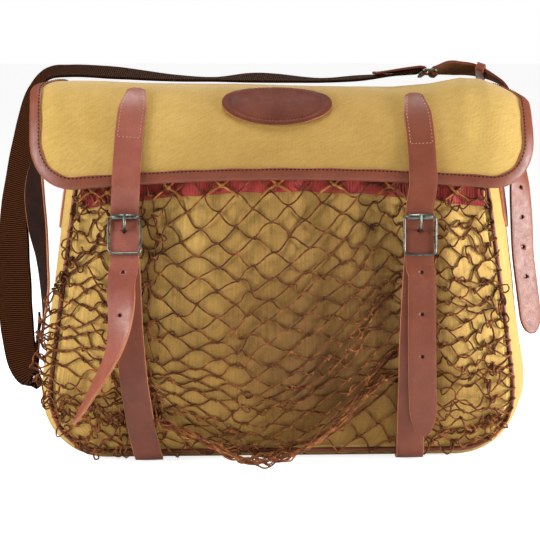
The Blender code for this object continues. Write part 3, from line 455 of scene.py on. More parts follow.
class Route:
    """A smooth curve through rows of x, y, z and any further columns, read by distance along it."""

    SAMPLES = 16

    def __init__(self, rows):
        rows = np.array(rows, dtype=float)
        padded = np.vstack([2 * rows[0] - rows[1], rows, 2 * rows[-1] - rows[-2]])
        points = []
        for a, b, c, d in zip(padded, padded[1:], padded[2:], padded[3:]):
            for t in np.arange(self.SAMPLES) / self.SAMPLES:
                bend = 2 * a - 5 * b + 4 * c - d + t * (3 * (b - c) + d - a)
                points.append(b + 0.5 * t * (c - a + t * bend))
        points.append(rows[-1])
        self.points = np.array(points)
        steps = np.linalg.norm(np.diff(self.points[:, :3], axis=0), axis=1)
        self.distances = np.concatenate([[0.0], np.cumsum(steps)])
        self.length = float(self.distances[-1])

    def at(self, distance):
        return [float(np.interp(distance, self.distances, column)) for column in self.points.T]

    def spot(self, distance):
        return Vector(self.at(distance)[:3])

    def tangent(self, distance):
        ahead, behind = min(distance + 0.5, self.length), max(distance - 0.5, 0)
        return (self.spot(ahead) - self.spot(behind)).normalized()


print("a route of three points is", round(Route([(0, 0, 0), (10, 0, 5), (20, 0, 0)]).length, 2), "long")

# %% Sizes of the body
CANVAS = 1.6
STRAP_LEATHER = 2.6
BINDING_LEATHER = 1.2
WEBBING = 2.4
BAND = 1.4
GAP = 0.35
MOUTH_Z = 318.0
SEAM_Z = 9.0
CORNER_RADIUS = 50.0
PIPING_RADIUS = 2.0
BODY_WIDTHS = ((0, 211), (72, 211), (250, 187), (330, 185))
BODY_HALF_DEPTHS = ((0, 56), (120, 56), (280, 47), (330, 47))
FRONT_BULGE = 5.0
BACK_BULGE = 3.0
GUSSET_BULGE = SEAM_Z - CANVAS / 2
GUSSET_SECTION = ((-1, 0), (-0.84, 0.72), (-0.62, 1), (0.62, 1), (0.84, 0.72), (1, 0))
PANEL_EDGE = PIPING_RADIUS + GAP
BACK_SEAM_Z = 280.0


def seam_half(z):
    """Half width of the body at a height, round its bottom corners."""
    half = lookup(BODY_WIDTHS, z)
    short = CORNER_RADIUS - (z - SEAM_Z)
    if short <= 0:
        return half
    return half - CORNER_RADIUS + math.sqrt(max(0.0, CORNER_RADIUS**2 - short**2))


def corner_rows(inset, steps):
    """Rows of a rounded bottom corner from the bottom up: z, half width."""
    radius = CORNER_RADIUS - inset
    rows = []
    for angle in even_steps(0, math.pi / 2, steps):
        z = SEAM_Z + inset + radius * (1 - math.cos(angle))
        rows.append((z, lookup(BODY_WIDTHS, z) - inset - radius * (1 - math.sin(angle))))
    return rows


def body_rows(inset=0.0, straight_step=7.0):
    rows = corner_rows(inset, 14)
    start = rows[-1][0]
    heights = even_steps(start, MOUTH_Z, round((MOUTH_Z - start) / straight_step))[1:]
    return rows + [(z, lookup(BODY_WIDTHS, z) - inset) for z in heights]


def around(rows, steps):
    """Rows of an outline as one line: down the left side, along the bottom and up the right side."""
    height, half = rows[0]
    left = [(-half, height) for height, half in reversed(rows)]
    middle = [(x, height) for x in even_steps(-half, half, steps)[1:-1]]
    return left + middle + [(half, height) for height, half in rows]


def bulge(x, z, depth, top):
    """How far a panel bulges: not at its seams, and by its full depth in the middle."""
    across = max(0.0, 1 - (x / seam_half(z)) ** 4)
    return depth * across * math.sin(math.pi * min(1.0, max(0.0, (z - SEAM_Z) / (top - SEAM_Z))))


def front_y(x, z):
    return -lookup(BODY_HALF_DEPTHS, z) - bulge(x, z, FRONT_BULGE, MOUTH_Z)


def back_y(x, z):
    return lookup(BODY_HALF_DEPTHS, z) + bulge(x, z, BACK_BULGE, BACK_SEAM_Z)


print("half width at bottom, belly and mouth:", [round(seam_half(z), 1) for z in (10, 72, MOUTH_Z)])

# %% [markdown]
# ## Cloth from a grid
# A woven panel is best made from a square grid, because its rows and columns then run like the threads do.
# create_grid makes the faces, each vertex is moved to its place on the bag, and Solidify gives the wall its
# thickness. The UV map is the same grid, stretched to the cloth's real size in metres.


# %% Sheets and tubes
def finish_piece(piece, looks=(), node=None):
    """Gives a piece its materials and its place, and hides the solid that it stands for."""
    for look in looks:
        piece.data.materials.append(look)
    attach(piece, "root")
    if node:
        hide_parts(node)
    return piece


def smooth_piece(name, mesh):
    mesh.shade_smooth()
    return show(bpy.data.objects.new(name, mesh))


def new_piece(name, bm):
    mesh = bpy.data.meshes.new(name)
    bm.to_mesh(mesh)
    bm.free()
    return smooth_piece(name, mesh)


def grid_piece(name, columns, rows, place, cloth_size):
    """A grid whose vertices are put at place(u, v), both from 0 to 1; cloth_size is in mm."""
    bm = bmesh.new()
    layer = bm.loops.layers.uv.new("UVMap")
    bmesh.ops.create_grid(bm, x_segments=columns, y_segments=rows, size=0.5, calc_uvs=True)
    for face in bm.faces:
        for loop in face.loops:
            u, v = loop.vert.co.x + 0.5, loop.vert.co.y + 0.5
            loop[layer].uv = (u * cloth_size[0] * MM, v * cloth_size[1] * MM)
    for vert in bm.verts:
        vert.co = Vector(place(vert.co.x + 0.5, vert.co.y + 0.5)) * MM
    return new_piece(name, bm)


def add_wall(piece, thickness, edge_slot=0, rounding=0.0):
    wall = piece.modifiers.new("wall", "SOLIDIFY")
    wall.thickness = thickness * MM
    wall.offset = 0
    wall.use_even_offset = True
    wall.material_offset_rim = edge_slot
    if rounding:
        soft = piece.modifiers.new("rounding", "BEVEL")
        soft.width = rounding * MM
        soft.segments = 2
        soft.limit_method = "ANGLE"
        soft.angle_limit = math.radians(45)
        soft.material = edge_slot if edge_slot else -1


def made_mesh(thing):
    """The mesh of a curve, or of a piece with its modifiers carried out."""
    return bpy.data.meshes.new_from_object(thing.evaluated_get(bpy.context.evaluated_depsgraph_get()))


def tube_piece(name, lines, radius, cyclic=False, resolution=3):
    """Round tubes along one or more lines of points, all in one mesh."""
    curve = bpy.data.curves.new(name, "CURVE")
    curve.dimensions = "3D"
    curve.bevel_depth = radius * MM
    curve.bevel_resolution = resolution
    curve.use_fill_caps = True
    for points in lines:
        spline = curve.splines.new("POLY")
        spline.points.add(len(points) - 1)
        for target, point in zip(spline.points, points):
            target.co = (*(Vector(point) * MM), 1.0)
        spline.use_cyclic_u = cyclic
    rod = show(bpy.data.objects.new(name, curve))
    mesh = made_mesh(rod)
    bpy.data.objects.remove(rod, do_unlink=True)
    return smooth_piece(name, mesh)


def triangles(piece):
    mesh = made_mesh(piece)
    mesh.calc_loop_triangles()
    count = len(mesh.loop_triangles)
    bpy.data.meshes.remove(mesh)
    return count


def announce(*made):
    print(", ".join(f"{piece.name}: {triangles(piece)} triangles" for piece in made))


print("canvas gets a wall of", CANVAS, "mm and leather one of", STRAP_LEATHER, "mm")


# %% [markdown]
# ## Body: panels, gusset and piping
# The front and back panels are sewn to one long gusset that makes the sides and the bottom, with a leather
# piping in each seam. Full cloth never lies quite flat, so a few broad and shallow dents, a sum of slow
# waves that fade toward the seams, keep the panels from looking like board.


# %% Slow dents in the cloth
def dents(x, z, size, seed):
    """A smooth unevenness between about -1 and 1, from four slow waves."""
    total = 0.0
    for k in range(4):
        turn = 1.7 * k + seed
        across = x * math.cos(turn) + z * math.sin(turn)
        total += math.sin(across * math.tau / (size * (1 + 0.37 * k)) + 2.3 * k + seed) / (1 + 0.6 * k)
    return total / 2


print("unevenness at the middle of the front:", round(dents(0, 150, 85, 0.4), 2))


# %% Panels
def body_panel(name, depth_at, outward, seed):
    rows = body_rows(PANEL_EDGE)

    def place(u, v):
        z, half = rows[round(v * (len(rows) - 1))]
        x = half * (2 * u - 1)
        edge = min(1.0, (half - abs(x)) / 30, (z - SEAM_Z) / 30)
        return x, depth_at(x, z) + outward * 0.9 * dents(x, z, 85, seed) * max(0.0, edge), z

    piece = grid_piece(f"{name}_canvas", 48, len(rows) - 1, place, (420, 330))
    if outward > 0:
        piece.data.flip_normals()
    add_wall(piece, CANVAS)
    return finish_piece(piece, [CANVAS_LOOK], name)


announce(body_panel("front_panel", front_y, -1, 0.4), body_panel("back_panel", back_y, 1, 2.1))

# %% Gusset
RIGHT_SWELL = 13.0
SWELL_TOP = 262.0


def gusset_strip():
    sections = np.array(GUSSET_SECTION)
    outlines = {}

    def outline(out):
        if out not in outlines:
            outlines[out] = around(body_rows(-GUSSET_BULGE * out), 24)
        return outlines[out]

    seam = outline(0.0)

    def place(u, v):
        across = 2 * u - 1
        row = round(v * (len(seam) - 1))
        z = seam[row][1]
        out = float(np.interp(across, sections[:, 0], sections[:, 1]))
        out -= 0.10 * max(0.0, dents(across * 60, row * 7, 90, 0.9)) * (1 - abs(across)) * (z > 60)
        x, height = outline(round(out, 3))[row]
        if x > 0:
            swell = RIGHT_SWELL * smooth_step(-0.9, 0.4, across) * smooth_step(8, 60, z)
            x += swell * out * (z < SWELL_TOP)
        return x, across * (lookup(BODY_HALF_DEPTHS, z) - PANEL_EDGE), height

    piece = grid_piece("gusset_canvas", 24, len(seam) - 1, place, (112, 1010))
    add_wall(piece, CANVAS)
    return finish_piece(piece, [CANVAS_LOOK], "gusset")


announce(gusset_strip())


# %% Piping
def piping(name, side):
    seam = around(body_rows(straight_step=9.0), 20)
    points = [(x, side * lookup(BODY_HALF_DEPTHS, z), z) for x, z in seam]
    cord = tube_piece(f"{name}_cord", [points], PIPING_RADIUS)
    return finish_piece(cord, [LEATHER_LOOK], name)


announce(piping("piping_front", -1), piping("piping_back", 1))

# %% [markdown]
# ## Front pocket and its elastic hem
# The pocket is a flat sheet of canvas drawn in at the top by a red elastic hem. The gathers start as narrow
# pleats under the hem and open into a few wide folds lower down, so the folds are a sum of waves whose
# spacing grows toward the bottom. The hem itself is a strip with a rib for every rubber thread, made as
# real relief because its ribs show against the light.

# %% Sizes of the pocket
POCKET_DEPTH = 15.0
POCKET_INSET = 5.0
BAND_WIDTH = 30.0
BAND_TOP_CENTRE = 276.0
BAND_DROP_AT_ENDS = 16.0
POCKET_FOLD = 1.3
FOLD_LENGTH = 46.0
POCKET_LAYER = CANVAS + GAP
STRAP_X = {"left": -143.0, "right": 119.0}
STRAP_PRESS = 0.4
STRAP_PRESS_SPREAD = 24.0


def band_top(x):
    return BAND_TOP_CENTRE - BAND_DROP_AT_ENDS * (x / BODY_WIDTHS[2][1]) ** 2


def pocket_half(z):
    return seam_half(z) - POCKET_INSET


def pocket_y(x, z):
    """Middle of the pocket's wall, with its broad folds, as in the solid."""
    across = max(0.0, 1 - (x / pocket_half(z)) ** 4)
    up = smooth_step(SEAM_Z + POCKET_INSET, 100, z) * (1 - 0.5 * smooth_step(170, 250, z))
    press = 1 - STRAP_PRESS * sum(bell(x, centre, STRAP_PRESS_SPREAD) for centre in STRAP_X.values())
    fold = POCKET_FOLD * math.sin(math.tau * x / FOLD_LENGTH) * smooth_step(110, 230, z)
    return front_y(x, z) - POCKET_LAYER - across * (POCKET_DEPTH * up * press + POCKET_FOLD * up + fold * up)


def gathers(x, z):
    """Relief of the cloth's folds: narrow pleats at the hem, long soft folds lower down."""
    below_hem = BAND_TOP_CENTRE - BAND_WIDTH - z
    pleats = smooth_step(95, 0, below_hem)
    slow = 0.8 * math.sin(x / 11.5 + 0.9 * math.sin(x / 37) + z / 160)
    slow += 0.7 * math.sin(x / 19 + 1.4 + z / 210 + 0.8 * math.sin(x / 53 + z / 90))
    fine = 0.55 * math.sin(x / 4.6 + 1.1 * math.sin(x / 23)) * pleats
    sides = min(1.0, (pocket_half(z) - abs(x)) / 25)
    return (slow * (0.55 + 0.45 * pleats) + fine) * max(0.0, sides) * smooth_step(SEAM_Z + 6, 80, z)


def pocket_front(x, z):
    """Middle of the dressed pocket's wall: the solid's, with folds of 3 mm and a dent under each strap."""
    pressed = sum(bell(x, centre, 19) for centre in STRAP_X.values()) * smooth_step(25, 90, z)
    folds = 1.9 * gathers(x, z) + 1.2 * dents(x, z, 70, 3.3) * smooth_step(20, 60, z)
    return pocket_y(x, z) - folds + 3.2 * pressed * (1 - smooth_step(200, 240, z))


print("the pocket stands", round(front_y(0, 120) - pocket_front(0, 120), 1), "mm off the front panel")


# %% Pocket panel
def pocket_panel():
    low_rows = corner_rows(POCKET_INSET, 10)
    bottom = low_rows[-1][0]
    top = BAND_TOP_CENTRE - 2
    above = 40

    def place(u, v):
        row = round(v * (len(low_rows) - 1 + above))
        share = 2 * u - 1
        if row < len(low_rows):
            z, half = low_rows[row]
        else:
            z = bottom + (top - bottom) * (row - len(low_rows) + 1) / above
            half = pocket_half(z)
            z += (band_top(share * half) - BAND_TOP_CENTRE) * (z - bottom) / (BAND_TOP_CENTRE - bottom)
        return share * half, pocket_front(share * half, z), z

    piece = grid_piece("pocket_canvas", 220, len(low_rows) - 1 + above, place, (430, 270))
    add_wall(piece, CANVAS)
    return finish_piece(piece, [POCKET_LOOK], "pocket_panel")


# %% Ribbed elastic hem
RIB_SPACING = 2.5
RIB_HEIGHT = 0.30


def pocket_hem():
    half = pocket_half(BAND_TOP_CENTRE - BAND_WIDTH)
    ribs = round(2 * half / RIB_SPACING)

    def place(u, v):
        x = half * (2 * u - 1)
        z = band_top(x) - BAND_WIDTH * (1 - v) + 0.5 * math.sin(x / 9.0) * (1 - v)
        rib = RIB_HEIGHT * math.cos(math.tau * ribs * u + 0.6 * math.sin(x / 13))
        ruffle = 0.6 * math.sin(x / 7.3 + 0.8 * math.sin(x / 31)) * (1 - v)
        return x, pocket_front(x, z) - (CANVAS + BAND) / 2 - GAP - 0.45 - rib - max(0.0, ruffle), z

    piece = grid_piece("pocket_hem_elastic", ribs * 4, 10, place, (2 * half, BAND_WIDTH))
    add_wall(piece, BAND - RIB_HEIGHT)
    return finish_piece(piece, [ELASTIC_LOOK], "pocket_band")


announce(pocket_panel(), pocket_hem())

# %% [markdown]
# ## Flap
# The flap is one piece of canvas, sewn to the back, bent over the top and hanging down the front. Its
# profile is a row of measured points with a smooth curve through them. The crest rises and falls a little
# from side to side, and the cloth between the two straps sags in shallow waves, which the raking light
# picks out.

# %% Sizes of the flap
FLAP_HALF_WIDTH = 226.0
FLAP_CORNER = 40.0
BINDING_WIDTH = 9.0
BINDING_CLEARANCE = 0.7
FLAP_PROFILE = (
    (-73.0, 256), (-71.0, 270), (-66.5, 292), (-58, 313), (-45, 329), (-25, 338), (0, 339.4),
    (16, 338.8), (31, 336.8), (43, 331.5), (49.5, 323), (51, 312), (51, 300), (51, 288),
)
FLAP_CREST = (
    (-226, 339), (-205, 343), (-165, 343.5), (-60, 340), (65, 338.5), (105, 338), (140, 341),
    (168, 346), (185, 345), (200, 339), (213, 333), (226, 327),
)
FLAP_NARROWING = ((0, 226), (95, 226), (110, 222), (125, 214), (140, 207), (160, 202), (240, 197))
CREST_Z = 339.4
HEM_RISE_CENTRE = 3.0
HEM_DROP_AT_SIDES = 9.0
CUP_START = 178.0
CUP_DEPTH = 14.0
CREASES_X = 172.0
PROFILE = Route([(0, y, z) for y, z in FLAP_PROFILE])


def flap_base(x, along):
    """Middle of the flap's wall as in the solid, at a distance along its profile from the hem."""
    _, y, z = PROFILE.at(along)
    z += smooth_step(290, 336, z) * (lookup(FLAP_CREST, x) - CREST_Z)
    z += (1 - smooth_step(0, 70, along)) * (HEM_RISE_CENTRE - HEM_DROP_AT_SIDES * (x / 200) ** 2)
    cup = CUP_DEPTH * (max(0.0, abs(x) - CUP_START) / (FLAP_HALF_WIDTH - CUP_START)) ** 2
    y += cup * (1 - smooth_step(60, 110, along))
    return Vector((x, y, z))


def flap_point(x, along, lift):
    """A point over the flap: lift is its distance outward from the middle of the canvas."""
    across = flap_base(x + 1, along) - flap_base(x - 1, along)
    up = flap_base(x, min(along + 1, PROFILE.length)) - flap_base(x, max(along - 1, 0))
    return flap_base(x, along) + across.cross(up).normalized() * lift


def flap_half(along):
    """Half width of the flap at a distance from its hem, with round lower corners."""
    if along < FLAP_CORNER:
        return FLAP_HALF_WIDTH - FLAP_CORNER + math.sqrt(FLAP_CORNER**2 - (FLAP_CORNER - along) ** 2)
    return lookup(FLAP_NARROWING, along)


def ripple(x, along):
    """Shallow waves in the middle and creases at the right, none at the edges or near the seam."""
    edge = min(1.0, (flap_half(along) - abs(x)) / 22, along / 22)
    creases = 1.1 * math.sin((x - 150) / 6.5) * bell(x, CREASES_X, 20) * smooth_step(15, 50, along)
    waves = 0.9 * dents(x, along, 95, 1.1) * (1 - smooth_step(150, 200, along))
    return (waves + creases * (1 - smooth_step(90, 140, along))) * max(0.0, edge)


print("the flap is", round(PROFILE.length), "mm from hem to seam")


# %% Flap canvas
def flap_canvas():
    rows = [FLAP_CORNER * (1 - math.cos(angle)) for angle in even_steps(0, math.pi / 2, 14)[:-1]]
    rows += even_steps(FLAP_CORNER, PROFILE.length, 44)

    def place(u, v):
        along = rows[round(v * (len(rows) - 1))]
        x = (2 * u - 1) * flap_half(along)
        return flap_point(x, along, ripple(x, along))

    piece = grid_piece("flap_canvas", 110, len(rows) - 1, place, (452, 240))
    add_wall(piece, CANVAS)
    return finish_piece(piece, [CANVAS_LOOK], "flap")


announce(flap_canvas())

# %% [markdown]
# ## Leather binding
# A strip of thin leather is folded over the flap's edge and sewn through. Its section is nine points: in
# along the front, round the edge and back along the inside. Swept round the outline it makes one clean
# strip, and the stitches follow just inside its inner edge.


# %% Binding
def flap_outline():
    rows = []
    for angle in even_steps(0, math.pi / 2, 16):
        half = FLAP_HALF_WIDTH - FLAP_CORNER * (1 - math.sin(angle))
        rows.append((FLAP_CORNER * (1 - math.cos(angle)), half))
    for along in even_steps(FLAP_CORNER, PROFILE.length, 40)[1:]:
        rows.append((along, lookup(FLAP_NARROWING, along)))
    return around(rows, 60)


FLAP_EDGE = flap_outline()
ON_FLAP_CLOTH = CANVAS / 2 + BINDING_CLEARANCE


def edge_place(row, depth, off):
    """A point at a depth in from the flap's edge and a height off the canvas."""
    first = Vector(FLAP_EDGE[max(row - 1, 0)])
    last = Vector(FLAP_EDGE[min(row + 1, len(FLAP_EDGE) - 1)])
    run = (last - first).normalized()
    x, along = Vector(FLAP_EDGE[row]) + Vector((-run.y, run.x)) * depth
    if along < 0:
        return flap_point(x, 0, off) + (flap_base(x, 0) - flap_base(x, 1)) * -along
    return flap_point(x, min(along, PROFILE.length), off)


def flap_binding():
    face = ON_FLAP_CLOTH + BINDING_LEATHER / 2
    section = (
        (BINDING_WIDTH, face - 0.35), (BINDING_WIDTH - 1.5, face), (4, face + 0.15), (0.6, face - 0.1),
        (-0.7, face * 0.72), (-1.4, 0), (-0.7, -face * 0.72), (0.6, -face), (BINDING_WIDTH, -face),
    )

    def place(u, v):
        depth, off = section[round(u * (len(section) - 1))]
        row = round(v * (len(FLAP_EDGE) - 1))
        return edge_place(row, depth + 0.35 * math.sin(row * 0.9) * (depth > 5), off)

    piece = grid_piece("flap_binding_leather", len(section) - 1, len(FLAP_EDGE) - 1, place, (24, 1000))
    add_wall(piece, BINDING_LEATHER, edge_slot=1, rounding=0.3)
    return finish_piece(piece, [LEATHER_LOOK, EDGE_LOOK], "flap_binding")


announce(flap_binding())

# %% [markdown]
# ## Stitches
# A saddle stitch shows as a row of short slanted threads, each sunk into a small dent. Every stitch here is
# a small stretched sphere laid along the seam, and a whole seam is one mesh. A few dozen faces for each are
# enough, because a stitch is only two pixels long in the picture.


# %% Rows of stitches
def stitch_row(name, seam, length, thickness, pitch, look):
    """One mesh of stitches along a seam: a list of points, each with the outward normal of its surface."""
    points, outward = zip(*seam)
    lengths = [0.0]
    for first, second in zip(points, points[1:]):
        lengths.append(lengths[-1] + (second - first).length)
    count = max(1, int(lengths[-1] / pitch))
    bm = bmesh.new()
    for k in range(count):
        middle = (k + 0.5) * lengths[-1] / count
        spot = int(np.searchsorted(lengths, middle)) - 1
        share = (middle - lengths[spot]) / (lengths[spot + 1] - lengths[spot])
        start, end = points[spot], points[spot + 1]
        normal = outward[spot].lerp(outward[spot + 1], share).normalized()
        along = (end - start).normalized()
        slanted = (along + normal.cross(along).normalized() * 0.12).normalized()
        turn = Matrix((slanted, normal.cross(slanted).normalized(), normal)).transposed().to_4x4()
        size = Matrix.Diagonal((length / 2 * MM, thickness / 2 * MM, thickness / 2 * MM, 1))
        place = Matrix.Translation(start.lerp(end, share) * MM)
        bmesh.ops.create_uvsphere(bm, u_segments=6, v_segments=4, radius=1, matrix=place @ turn @ size)
    return finish_piece(new_piece(name, bm), [look])


def binding_stitches():
    seam = []
    for row in range(len(FLAP_EDGE)):
        point = edge_place(row, BINDING_WIDTH - 1.5, ON_FLAP_CLOTH + BINDING_LEATHER + 0.1)
        seam.append((point, point - edge_place(row, BINDING_WIDTH - 1.5, 0)))
    return stitch_row("binding_stitches", seam, length=2.4, thickness=1.1, pitch=3.6, look=THREAD_LOOK)


announce(binding_stitches())

# %% [markdown]
# ## Oval patch
# The patch is a thick oval of leather with a raised double edge and a line of stitches inside it. A square
# grid drawn out to an ellipse keeps its rows even, and the raised edge is a small bump in the height of
# each vertex as a function of its distance from the rim. Its face is left bare.

# %% Patch
PATCH_CENTRE_X = -5.4
PATCH_CENTRE_ALONG = 72.0
PATCH_WIDTH = 99.0
PATCH_HEIGHT = 44.0
PATCH_THICKNESS = 2.6
PATCH_SEAM = 3.6


def oval_patch():
    def place(u, v):
        across, up = 2 * u - 1, 2 * v - 1
        rim = (1 - math.sqrt(across**2 + up**2 - across**2 * up**2)) * PATCH_HEIGHT / 2
        relief = 0.35 * bell(rim, 1.8, 1.0) - 0.4 * bell(rim, 3.6, 0.8) - 0.35 * bell(rim, 0, 0.9)
        relief += 0.15 * smooth_step(4, 12, rim)
        x = PATCH_CENTRE_X + PATCH_WIDTH / 2 * across * math.sqrt(1 - up**2 / 2)
        along = PATCH_CENTRE_ALONG + PATCH_HEIGHT / 2 * up * math.sqrt(1 - across**2 / 2)
        return flap_point(x, along, ON_FLAP_CLOTH + PATCH_THICKNESS / 2 + relief)

    piece = grid_piece("oval_patch_leather", 72, 72, place, (PATCH_WIDTH, PATCH_HEIGHT))
    add_wall(piece, PATCH_THICKNESS, edge_slot=1, rounding=0.5)
    return finish_piece(piece, [PATCH_LOOK, EDGE_LOOK], "oval_patch")


def patch_stitches():
    seam = []
    height = ON_FLAP_CLOTH + PATCH_THICKNESS - 0.1
    for turn in even_steps(0, math.tau, 96):
        x = PATCH_CENTRE_X + (PATCH_WIDTH / 2 - PATCH_SEAM) * math.cos(turn)
        along = PATCH_CENTRE_ALONG + (PATCH_HEIGHT / 2 - PATCH_SEAM) * math.sin(turn)
        point = flap_point(x, along, height)
        seam.append((point, flap_point(x, along, height + 1) - point))
    return stitch_row("patch_stitches", seam, length=1.9, thickness=0.9, pitch=3.1, look=PATCH_THREAD_LOOK)


announce(oval_patch(), patch_stitches())

# %% [markdown]
# ## Straps
# A leather strap is a flat strip that bends easily one way and hardly the other. It is made as a run of
# cross lines: each line has a middle and a direction across. The grid through them gets its thickness from
# Solidify, its cut rim a second material, and a Bevel the slightly rounded edges of a hand-finished strap.

# %% A strap through cross lines
STRAP_WIDTH = 25.0
PRONG_HOLE = {"front": 1.7, "back": 1.7, "depth": 9.0}
PRONG_SLOT = {"front": 2.5, "back": 2.5, "depth": 5.0}
SPARE_HOLE = {"front": 2.3, "back": 0.4, "depth": 5.0}


def strap_piece(name, lines, half_widths, looks, thickness=STRAP_LEATHER, columns=6, crown=0.25):
    """lines holds the middle, the direction across and the direction outward of each cross line."""
    distances = [0.0]
    for first, second in zip(lines, lines[1:]):
        distances.append(distances[-1] + (second[0] - first[0]).length)
    last = len(lines) - 1

    def place(u, v):
        middle, across, out = lines[round(v * last)]
        side = 2 * u - 1
        rise = crown * (1 - side**2) - crown / 2
        return middle + across * (side * half_widths[round(v * last)]) + out * rise

    piece = grid_piece(name, columns, last, place, (max(half_widths) * 2, distances[-1]))
    add_wall(piece, thickness, edge_slot=1, rounding=min(1.0, thickness * 0.4))
    for look in looks:
        piece.data.materials.append(look)
    return piece


def cross_line(middle, across, along):
    """Puts the direction across square to the run of the strap and adds the direction outward."""
    along = Vector(along).normalized()
    across = Vector(across)
    across = (across - along * across.dot(along)).normalized()
    return Vector(middle), across, across.cross(along).normalized()


def line_on(route, distance):
    """Cross line of a route whose rows hold a direction across after x, y and z."""
    return cross_line(route.spot(distance), route.at(distance)[3:6], route.tangent(distance))


def lines_between(lines, spacing):
    """More cross lines, evenly spaced on smooth curves through the middles and the directions."""
    route = Route([(*middle, *across) for middle, across, _ in lines])
    distances = even_steps(0, route.length, round(route.length / spacing))
    return [line_on(route, distance) for distance in distances], distances


def along_route(route, count):
    return [route.spot(distance) for distance in even_steps(0, route.length, count)]


def nearest_along(route, miss):
    """Whole millimetres along a route at which miss, a function of the point there, is smallest."""
    return min(range(int(route.length)), key=lambda distance: miss(route.spot(distance)))


def tip_width(distance_left, tip_length, narrowest):
    """Share of the full width near a rounded tip."""
    share = min(1.0, max(0.0, distance_left / tip_length))
    return max(narrowest, math.sqrt(1 - (1 - share) ** 2))


def punch(piece, spots, hole):
    """Round holes through a strap: each spot is a middle and the direction of its hole, in mm."""
    bm = bmesh.new()
    for middle, direction in spots:
        forward = direction if direction.y < 0 else -direction
        bmesh.ops.create_cone(
            bm, cap_ends=True, segments=16,
            radius1=hole["back"] * MM, radius2=hole["front"] * MM, depth=hole["depth"] * MM,
            matrix=Matrix.Translation(middle * MM) @ forward.to_track_quat("Z", "Y").to_matrix().to_4x4(),
        )
    pins = new_piece("hole_pins", bm)
    # The cutters carry the near-black material to the hole walls they cut: painted shade inside each hole.
    pins.data.materials.append(HOLE_SHADE_LOOK)
    cut = piece.modifiers.new("holes", "BOOLEAN")
    cut.operation = "DIFFERENCE"
    cut.solver = "EXACT"
    cut.material_mode = "TRANSFER"
    cut.object = pins
    whole = made_mesh(piece)
    piece.modifiers.clear()
    piece.data = whole
    bpy.data.objects.remove(pins, do_unlink=True)


print("3 mm from its end a strap's tip has", round(tip_width(3, 20, 0.28), 2), "of its width")

# %% Places of the front straps and buckles
NET_STRAND = 2.4
NET_CLEARANCE = 3.2
NET_SAG = 15.0
SAG_CENTRE_X = -4.0
SAG_SPREAD = 60.0
BUCKLE_Z = 212.0
BUCKLE_WIRE = 1.1
ROLLER_RADIUS = 2.2
ROLLER_UP = 12.5
ROLLER_LENGTH = 22.0
SLEEVE_RADIUS = 2.9
SLEEVE_HANG = 0.7
TONGUE_RADIUS = 1.25
WIRE_DOWN = -21.5
SIDE_ACROSS = STRAP_WIDTH / 2 + 0.6 + BUCKLE_WIRE
ROLLER_OUT = STRAP_LEATHER / 2 + GAP + ROLLER_RADIUS
WIRE_OUT = STRAP_LEATHER / 2 + GAP + BUCKLE_WIRE
LAP_RADIUS = BUCKLE_WIRE + GAP + STRAP_LEATHER / 2
BAR_OUT = -(STRAP_LEATHER * 1.5 + 2 * GAP + BUCKLE_WIRE)
BUCKLE_ROOM = 1.0
STRAP_ON_NET = 1.5
LAP_LENGTH = 9.0
BOTTOM_STRAP_PATH = {
    "left": ((0, -121), (27, -128), (72, -135), (115, -139), (BUCKLE_Z, -143)),
    "right": ((0, 115.5), (110, 115.5), (BUCKLE_Z, 121)),
}
STRAP_FOOT = ((-50.5, 4.3), (-55.5, 3.0), (-62, 3.6), (-66.6, 8), (-68.2, 15))
BOTTOM_STRAP_HEIGHTS = (32, 52, 75, 100, 125, 150, 172)
BUCKLE_TILT = {"left": 26.0, "right": 4.0}


def net_y(x, z):
    """Middle of the solid net, which the straps lie on."""
    on_pocket = CANVAS / 2 + NET_STRAND / 2 + NET_CLEARANCE
    lift = on_pocket + (GAP + BAND) * smooth_step(218, 232, z)
    sag = NET_SAG * bell(x, SAG_CENTRE_X, SAG_SPREAD) * math.exp(-max(0.0, z) / 60)
    return pocket_y(x, z) - lift - sag


def strap_back_y(x, z):
    furthest = min(net_y(x + across, z) for across in (-STRAP_WIDTH / 2, 0, STRAP_WIDTH / 2))
    return furthest - NET_STRAND / 2 - STRAP_LEATHER / 2 - STRAP_ON_NET


class Fitting:
    """Local frame of a buckle: across the strap, up along it, and out from the bag."""

    def __init__(self, name, centre, up, out):
        self.name = name
        self.centre = Vector(centre)
        self.up = Vector(up).normalized()
        self.out = Vector(out).normalized()
        self.across = self.up.cross(self.out)

    def point(self, across, up, out):
        return self.centre + self.across * across + self.up * up + self.out * out


def front_buckle(side):
    tilt = math.radians(BUCKLE_TILT[side])
    x = BOTTOM_STRAP_PATH[side][-1][1]
    y = strap_back_y(x, BUCKLE_Z) + BAR_OUT - LAP_RADIUS - BUCKLE_ROOM
    up, out = (0, math.sin(tilt), math.cos(tilt)), (0, -math.cos(tilt), math.sin(tilt))
    return Fitting(side, (x, y, BUCKLE_Z), up, out)


FRONT_BUCKLES = {side: front_buckle(side) for side in STRAP_X}
for buckle in FRONT_BUCKLES.values():
    print("middle of the", buckle.name, "front buckle:", [round(value, 1) for value in buckle.centre])


# %% Bottom straps
def round_the_bar(buckle, approach, lap):
    """Middles of a strap that comes up behind a buckle's bar, turns over it and ends in a lap in front."""
    centres = [buckle.point(0, up, BAR_OUT - LAP_RADIUS) for up in approach]
    for turn in even_steps(0, math.pi, 8)[1:]:
        centres.append(buckle.point(0, LAP_RADIUS * math.sin(turn), BAR_OUT - LAP_RADIUS * math.cos(turn)))
    centres.append(buckle.point(0, -lap, BAR_OUT + LAP_RADIUS))
    return centres


def along_of(centres, k):
    return centres[min(k + 1, len(centres) - 1)] - centres[max(k - 1, 0)]


def slot_for_prong(buckle):
    return buckle.point(0, 0, BAR_OUT + LAP_RADIUS), buckle.out


